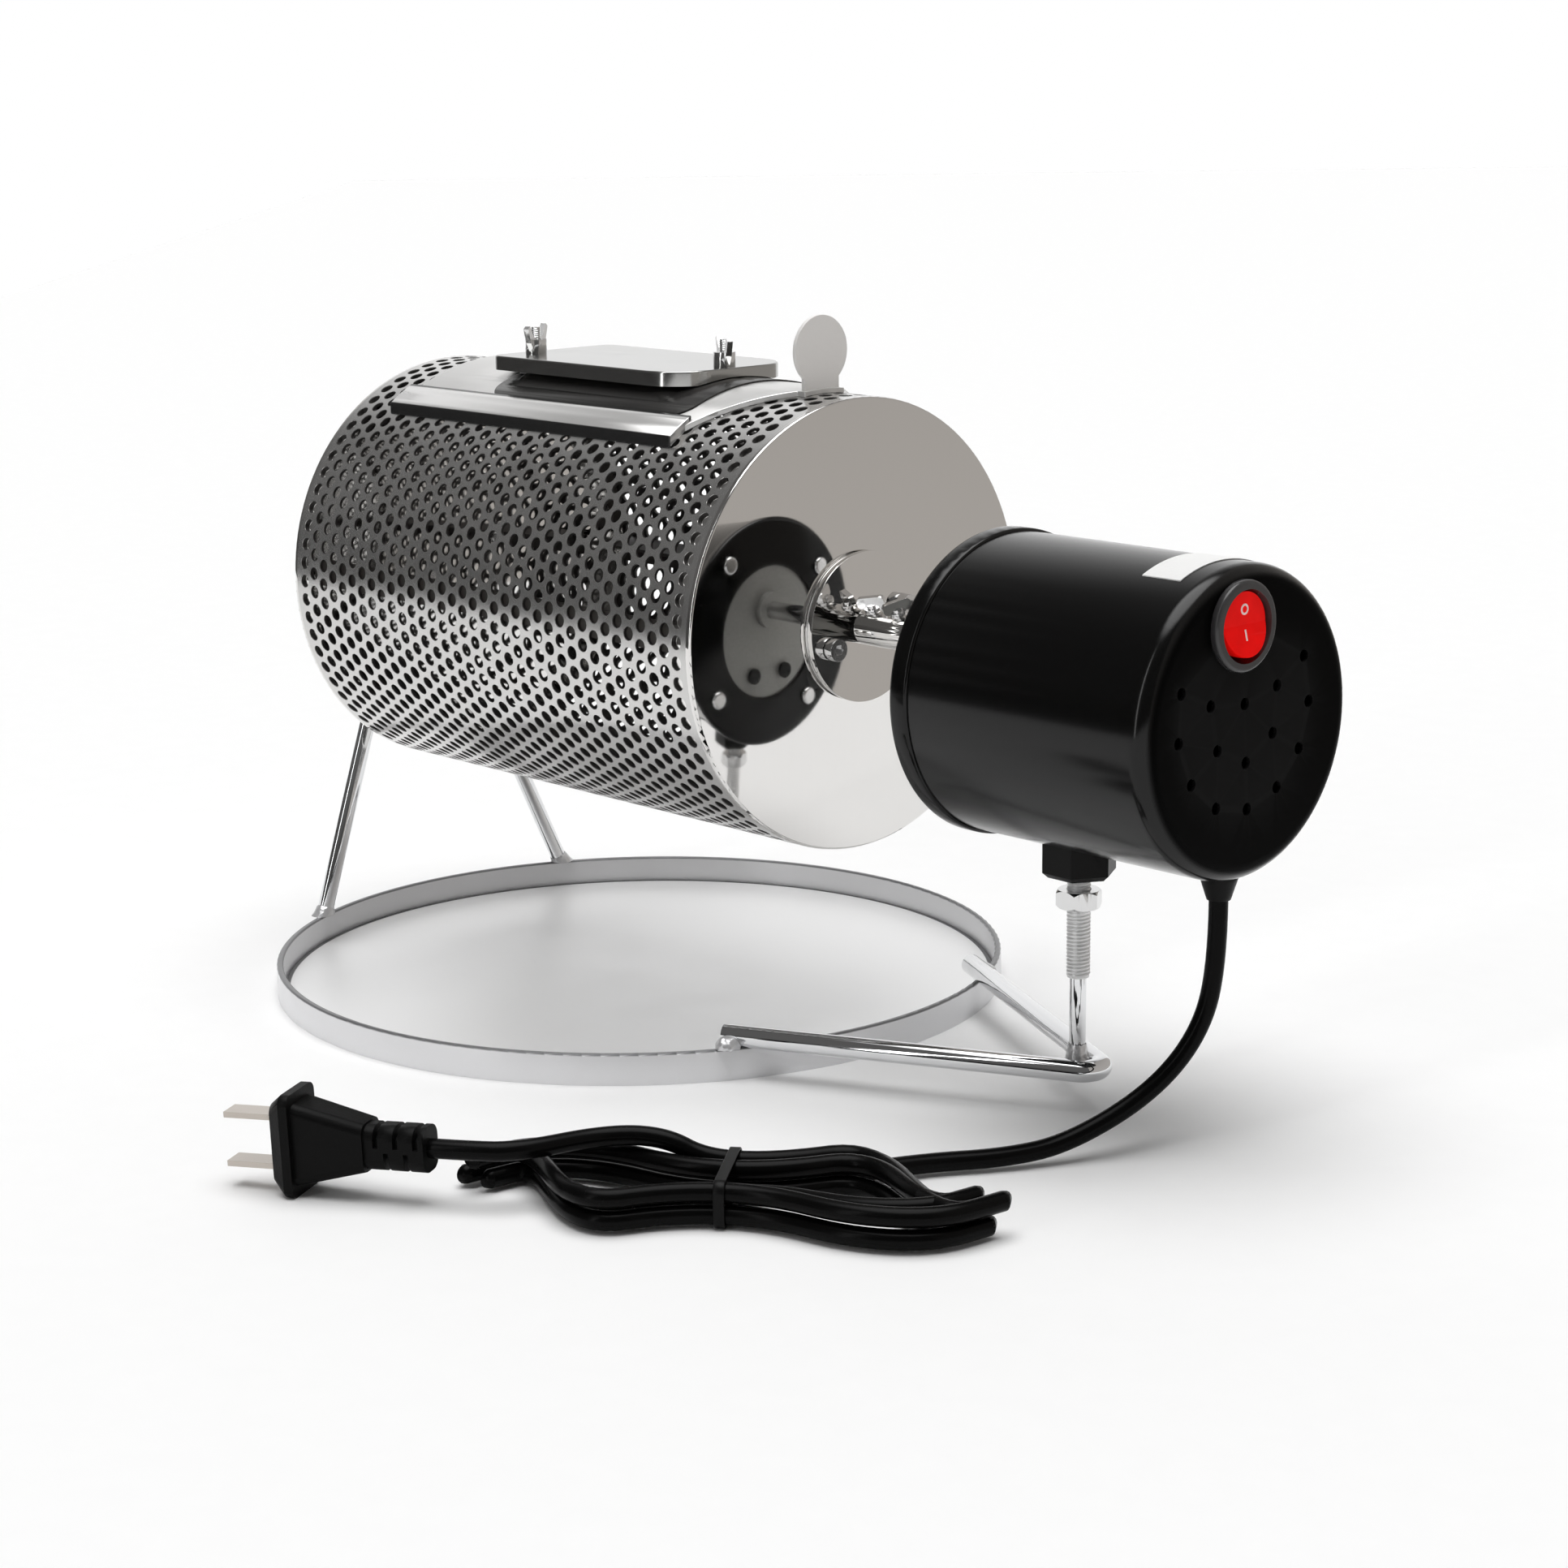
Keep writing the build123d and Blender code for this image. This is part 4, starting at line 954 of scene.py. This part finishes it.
@dataclass
class PowerCord:
    """Cord from the strain relief to its tied hank and on to the plug."""

    diameter: float = 5.0 * MM
    length: float = 1.18
    drop: tuple[tuple[float, float, float], ...] = (
        (0.2259, 0.0, 0.066),
        (0.2259, 0.0, 0.047),
        (0.2236, -0.0045, 0.030),
        (0.2175, -0.016, 0.016),
        (0.2075, -0.035, 0.0053),
        (0.1999, -0.050, 0.0033),
        (0.1876, -0.0682, 0.0033),
    )
    centre: Pair = (0.1734, -0.1204)
    angle: float = 39.0
    half: float = 0.0445
    inner: float = 0.015
    step: float = 0.00335
    waist: float = 0.012
    runs: int = 7
    fold_corners: int = 4
    low: float = 0.0033
    layer: float = 0.0056
    lead: tuple[tuple[float, float, float], ...] = (
        (-0.0071, 0.01305, 0.0089),
        (-0.0174, 0.01305, 0.0145),
        (-0.0321, 0.01305, 0.0145),
        (-0.0514, -0.0034, 0.0148),
        (-0.0646, -0.0034, 0.0148),
        (-0.0730, -0.0019, 0.0145),
    )

    def spot(self, along: float, across: float, level: float) -> Vector:
        """Point of the hank.

        Args:
            along: Distance along the hank from its centre.
            across: Distance to its side.
            level: Height over the floor.

        Returns:
            The point.
        """
        turn = math.radians(self.angle)
        x = self.centre[0] + along * math.cos(turn) - across * math.sin(turn)
        y = self.centre[1] + along * math.sin(turn) + across * math.cos(turn)
        return Vector((x, y, level))

    def side(self, run: int) -> float:
        """Offset of a run from the hank's middle line."""
        size = self.inner + self.step * abs(run - self.runs // 2)
        return size if run % 2 == 0 else -size

    def level(self, run: int, share: float) -> float:
        """Height of a run, of which the middle one climbs to the upper layer.

        Args:
            run: Number of the run.
            share: Share of its length.

        Returns:
            The height.
        """
        middle = self.runs // 2
        climb = share if run == middle else float(run > middle)
        return self.low + self.layer * climb

    def hank(self) -> list[Vector]:
        """Control points of all the runs and folds of the hank.

        Returns:
            The points in order.
        """
        spots = []
        for run in range(self.runs):
            way = -1 if run % 2 == 0 else 1
            side = self.side(run)
            drawn = side - math.copysign(self.waist, side)
            stretch = ((0.125, side), (0.375, drawn), (0.625, drawn), (0.875, side))
            for share, across in stretch[:2] if run == self.runs - 1 else stretch:
                if run == 0 and share < 0.2:
                    across = (side + drawn) / 2
                    share = 0.25
                along = way * self.half * (2 * share - 1)
                spots.append(self.spot(along, across, self.level(run, share)))
            if run < self.runs - 1:
                spots += self.fold(run, way)
        return spots

    def fold(self, run: int, way: int) -> list[Vector]:
        """Control points of the half turn after a run.

        Args:
            run: Number of the run.
            way: Sign of the run's direction.

        Returns:
            The points in order.
        """
        first, second = self.side(run), self.side(run + 1)
        middle = (first + second) / 2
        step = 180 / self.fold_corners
        reach = abs(first - second) / 2 / math.cos(math.radians(step / 2))
        spots = []
        for corner in range(self.fold_corners):
            turn = math.radians(step / 2 + step * corner)
            along = way * (self.half + reach * math.sin(turn))
            across = middle + math.copysign(reach * math.cos(turn), first)
            spots.append(self.spot(along, across, self.level(run, 1.0)))
        return spots

    def build(self) -> None:
        """Lay the cord as one smooth curve."""
        data = bpy.data.curves.new("power_cord", "CURVE")
        data.dimensions = "3D"
        data.bevel_depth = self.diameter / 2
        data.bevel_resolution = 6
        data.resolution_u = 8
        data.use_fill_caps = True
        route = [Vector(point) for point in self.drop]
        route += self.hank()
        route += [self.spot(*point) for point in self.lead]
        spline = data.splines.new("NURBS")
        spline.points.add(len(route) - 1)
        for control, point in zip(spline.points, route):
            control.co = (*point, 1.0)
        spline.order_u = 3
        spline.use_endpoint_u = True
        cord = bpy.data.objects.new("power_cord", data)
        settle(cord, Body.STAND, CORD_RUBBER, "cord_drop", "cord_hank", "cord_lead")
        dress(PLUG_RUBBER, Edge.MOULDED, "plug_body")
        dress(BLADE_METAL, Edge.FINE, "plug_blades")
        dress(BLACK_PLASTIC, Edge.FINE, "cord_tie")


@dataclass
class Drum:
    """Perforated drum with its end discs and vanes."""

    columns: int = 36
    around: int = 70
    pitch: float = 4.88 * MM
    hole: float = 2.0 * MM
    sheet: float = 1.0 * MM
    window_x: Pair = (-23.0 * MM, 35.0 * MM)
    window_y: float = 22.0 * MM

    def __post_init__(self) -> None:
        """Read the drum's place and size from the frame, and start with no sheet."""
        low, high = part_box("drum_shell")
        self.x0, self.x1 = low.x, high.x
        self.radius = (high.y - low.y) / 2
        self.axis = (low.z + high.z) / 2
        self.points: list[Vector] = []
        self.faces: list[Sequence[int]] = []
        self.uses: dict[tuple[int, int], int] = {}
        self.skins = 0

    def spot(self, x: float, turn: float, depth: float) -> Vector:
        """Point of the sheet.

        Args:
            x: Station along the drum.
            turn: Share of a turn from the top.
            depth: Depth under the outer skin.

        Returns:
            The point.
        """
        angle = 2 * math.pi * turn
        reach = self.radius - depth
        return Vector((x, -reach * math.sin(angle), self.axis + reach * math.cos(angle)))

    def open(self, x0: float, x1: float, turn: float) -> bool:
        """Whether a cell of the sheet lies in the hatch window.

        Args:
            x0: First station of the cell.
            x1: Last station.
            turn: Share of a turn from the top.

        Returns:
            True in the window.
        """
        middle = self.spot(x0, turn, 0.0)
        inside = self.window_x[0] < x1 and x0 < self.window_x[1]
        return inside and middle.z > self.axis and abs(middle.y) < self.window_y

    def shell(self) -> Shape:
        """Sheet with every hole cut through it, closed at its ends and round the hatch.

        Returns:
            The shape of the sheet.
        """
        halves = 2 * self.around
        start = (self.x0 + self.x1 - self.columns * self.pitch) / 2
        stations = [self.x0] + [start + self.pitch * column for column in range(self.columns + 1)] + [self.x1]
        self.skins = len(stations) * halves
        for depth in (0.0, self.sheet):
            self.points += [self.spot(x, half / halves, depth) for x in stations for half in range(halves)]
        for ring in (0, len(stations) - 2):
            for half in range(halves):
                after = (half + 1) % halves
                near, far = ring * halves, (ring + 1) * halves
                self.panel((near + half, far + half, far + after, near + after))
        for column in range(self.columns):
            x0, x1 = stations[column + 1], stations[column + 2]
            near, far = column + 1, column + 2
            rim = ((far, 1), (far, 2), (near, 2), (near, 1), (near, 0), (far, 0))
            for place in range(self.around):
                half = 2 * place + column % 2
                turn = (half + 1) / halves
                if not self.open(x0, x1, turn):
                    corners = [ring * halves + (half + offset) % halves for ring, offset in rim]
                    self.cell(corners, (x0 + x1) / 2, turn)
        for (a, b), count in self.uses.items():
            if count == 1:
                self.faces.append((a, b, self.skins + b, self.skins + a))
        return Shape().add(self.points, self.faces)

    def count(self, a: int, b: int) -> None:
        """Note one use of an edge of the outer skin."""
        key = (min(a, b), max(a, b))
        self.uses[key] = self.uses.get(key, 0) + 1

    def panel(self, ring: Sequence[int]) -> None:
        """Add a plain stretch of the sheet, outside and inside.

        Args:
            ring: Corners on the outer skin.
        """
        self.faces.append(tuple(ring))
        self.faces.append(tuple(self.skins + index for index in reversed(ring)))
        for index, corner in enumerate(ring):
            self.count(corner, ring[(index + 1) % len(ring)])

    def cell(self, corners: Sequence[int], x: float, turn: float) -> None:
        """Add the stretch of the sheet round one hole, with the hole's wall.

        Args:
            corners: Corners on the outer skin.
            x: Station of the hole.
            turn: Its share of a turn from the top.
        """
        sides = 2 * len(corners)
        base = len(self.points)
        for depth in (0.0, self.sheet):
            for along, sideways in circle(self.hole, sides):
                share = sideways / (2 * math.pi * self.radius)
                self.points.append(self.spot(x + along, turn + share, depth))
        for index, corner in enumerate(corners):
            after = corners[(index + 1) % len(corners)]
            hole = [base + (2 * index + offset) % sides for offset in (2, 1, 0)]
            self.faces.append((corner, after, *hole))
            inner = [self.skins + corner, self.skins + after, *(spot + sides for spot in hole)]
            self.faces.append(tuple(reversed(inner)))
            self.count(corner, after)
        for side in range(sides):
            after = (side + 1) % sides
            self.faces.append((base + side, base + after, base + sides + after, base + sides + side))

    def build(self) -> None:
        """Make the shell and dress the discs and vanes."""
        settle(self.shell().piece("perforated_shell", sharp=50.0), Body.DRUM, DRUM_STEEL, "drum_shell")
        dress(DISC_STEEL, Edge.KEEN, "front_disc", "rear_disc")
        dress(SHADED_VANE_STEEL, Edge.FINE, "vane_near", "vane_low", "vane_far")


@dataclass
class Hatch:
    """Saddle, rails, neck, tab, studs, lid, seal and wing nuts."""

    stud_radius: float = 1.5 * MM
    stud_pitch: float = 0.6 * MM
    stud_groove: float = 0.25 * MM

    def build(self) -> None:
        """Dress the hatch."""
        dress(SADDLE_STEEL, Edge.EASED, "hatch_saddle")
        dress(RAIL_STEEL, Edge.EASED, "hatch_rail_far", "hatch_rail_near")
        dress(TAB_STEEL, Edge.FINE, "grip_tab")
        dress(SHADED_NECK_STEEL, Edge.EASED, "hatch_neck")
        dress(LID_STEEL, Edge.KEEN, "hatch_lid")
        dress(SEAL_RUBBER, Edge.KEEN, "lid_seal")
        dress(PLAIN_STEEL, Edge.ROUND, "wing_nut_rear", "wing_nut_front")
        self.studs()

    def studs(self) -> None:
        """Threaded studs through the lid."""
        low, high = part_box("lid_studs")
        inset = Vector((self.stud_radius, self.stud_radius, 0))
        shape = Shape()
        for corner in (low + inset, high - inset):
            place = Matrix.Translation((corner.x, corner.y, low.z))
            shape.thread(place, self.stud_radius, self.stud_pitch, high.z - low.z, self.stud_groove)
        settle(shape.piece("threaded_studs"), Body.DRUM, PLAIN_STEEL, "lid_studs")


@dataclass
class Coupling:
    """Front hub, thumb screws and shaft, and the rear stub."""

    def build(self) -> None:
        """Dress the hub and the stub."""
        dress(PLAIN_STEEL, Edge.FINE, "hub_pad")
        dress(MIRROR_STEEL, Edge.FINE, "hub_flange")
        dress(PLAIN_STEEL, Edge.EASED, "hub_screws", "rear_screws", "thumb_screw_drum", "thumb_screw_motor")
        dress(PLAIN_STEEL, Edge.EASED, "motor_shaft", "rear_stub", "stub_collar")


@dataclass
class Stand:
    """Tray ring and pan, legs, bearing, bar, post, lock nut and knob."""

    thread_pitch: float = 1.0 * MM
    thread_groove: float = 0.32 * MM
    bead_grid: float = 0.3 * MM
    bead_scale: float = 2.2 * MM
    bead_lump: float = 0.7 * MM
    bead_middle: float = 0.6

    def build(self) -> None:
        """Dress the stand."""
        dress(BAND_STEEL, Edge.KEEN, "tray_ring")
        dress(PAN_STEEL, Edge.EASED, "tray_pan")
        dress(CHROME, Edge.ROUND, "bearing_housing", "leg_near", "leg_far", "v_bar", "post_rod")
        dress(BRASS, Edge.FINE, "bearing_bush")
        dress(PLAIN_STEEL, Edge.EASED, "lock_nut")
        dress(BLACK_PLASTIC, Edge.MOULDED, "post_knob")
        dress(WELD_METAL, Edge.KEEN, "weld_beads")
        self.ripple("weld_beads")
        self.thread()

    def ripple(self, name: str) -> None:
        """Make weld metal uneven by a fraction of a millimetre.

        Args:
            name: Name of the node.
        """
        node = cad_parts[name]
        grid = node.modifiers.new("even_grid", "REMESH")
        grid.mode = "VOXEL"
        grid.voxel_size = self.bead_grid
        grid.use_smooth_shade = True
        lumps = bpy.data.textures.new("weld_lumps", "CLOUDS")
        lumps.noise_scale = self.bead_scale
        push = node.modifiers.new("lumps", "DISPLACE")
        push.texture = lumps
        push.texture_coords = "LOCAL"
        push.strength = self.bead_lump
        push.mid_level = self.bead_middle

    def thread(self) -> None:
        """Threaded sleeve on the post."""
        low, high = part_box("post_thread")
        radius = (high.x - low.x) / 2
        place = Matrix.Translation(((low.x + high.x) / 2, 0, low.z))
        shape = Shape().thread(place, radius, self.thread_pitch, high.z - low.z, self.thread_groove)
        settle(shape.piece("threaded_sleeve"), Body.STAND, THREAD_STEEL, "post_thread")


@dataclass
class Motor:
    """Can, rear cover, gearmotor, switch, label and strain relief."""

    rocker_reach: float = 8.1 * MM
    rocker_tilt: float = 7.0
    ring_below_top: float = 4.3 * MM
    bar_below_valley: float = 2.6 * MM
    mark_line: float = 0.5 * MM
    mark_height: float = 2.8 * MM
    mark_lift: float = 0.06 * MM
    mark_sink: float = 0.06 * MM
    mark_sides: int = 36

    def build(self) -> None:
        """Dress the motor and its switch."""
        dress(BLACK_ENAMEL, Edge.KEEN, "motor_can")
        dress(COVER_ENAMEL, Edge.PRESSED, "rear_cover")
        dress(PLAIN_STEEL, Edge.EASED, "cover_screws", "switch_terminals")
        dress(GEAR_ALLOY, Edge.EASED, "gearmotor")
        dress(BLACK_ENAMEL, Edge.EASED, "gearmotor_screws")
        dress(BLACK_PLASTIC, Edge.ROUND, "run_capacitor", "cord_grommet")
        dress(BEZEL_PLASTIC, Edge.FINE, "switch_bezel")
        dress(RED_PLASTIC, Edge.SOFT, "switch_rocker")
        dress(LABEL_PAPER, Edge.KEEN, "blank_label")
        self.marks()

    def marks(self) -> None:
        """Ring and bar, printed on the two flats of the rocker."""
        low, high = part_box("switch_rocker")
        slope = math.radians(2 * self.rocker_tilt)
        tilt = math.radians(self.rocker_tilt)
        flat_x = high.x - 2 * self.rocker_reach * math.sin(tilt)
        middle_y = (low.y + high.y) / 2
        ring_spot = Vector((flat_x, middle_y, high.z - self.ring_below_top))
        valley = high.z - self.rocker_reach / math.cos(tilt)
        run = self.bar_below_valley
        bar_spot = Vector((flat_x + run * math.sin(slope), middle_y, valley - run * math.cos(slope)))
        half_line, half_height = self.mark_line / 2, self.mark_height / 2
        ring = circle(half_height, self.mark_sides)
        eye = circle(half_height - self.mark_line, self.mark_sides)
        corners = ((-1, -1), (1, -1), (1, 1), (-1, 1))
        bar = [(x * half_line, y * half_height) for x, y in corners]
        shape = Shape()
        for spot, lean, outline, holes in ((ring_spot, 0.0, ring, [eye]), (bar_spot, slope, bar, [])):
            turned = Matrix.Translation(spot) @ Matrix.Rotation(-lean, 4, "Y")
            place = turned @ along_x(0, 0, -self.mark_sink)
            shape.plate(outline, holes, self.mark_sink + self.mark_lift, place)
        settle(shape.piece("rocker_marks"), Body.ROCKER, MARK_WHITE)


def main() -> None:
    """Build the stage and every sub-assembly in order, and log each one."""
    logging.basicConfig(level=logging.INFO, format="%(name)s: %(message)s")
    parts = (Studio(), PowerCord(), Drum(), Hatch(), Coupling(), Stand(), Motor())
    for part in parts:
        LOG.info("building %s", type(part).__name__)
        part.build()


if __name__ == "__main__":
    main()
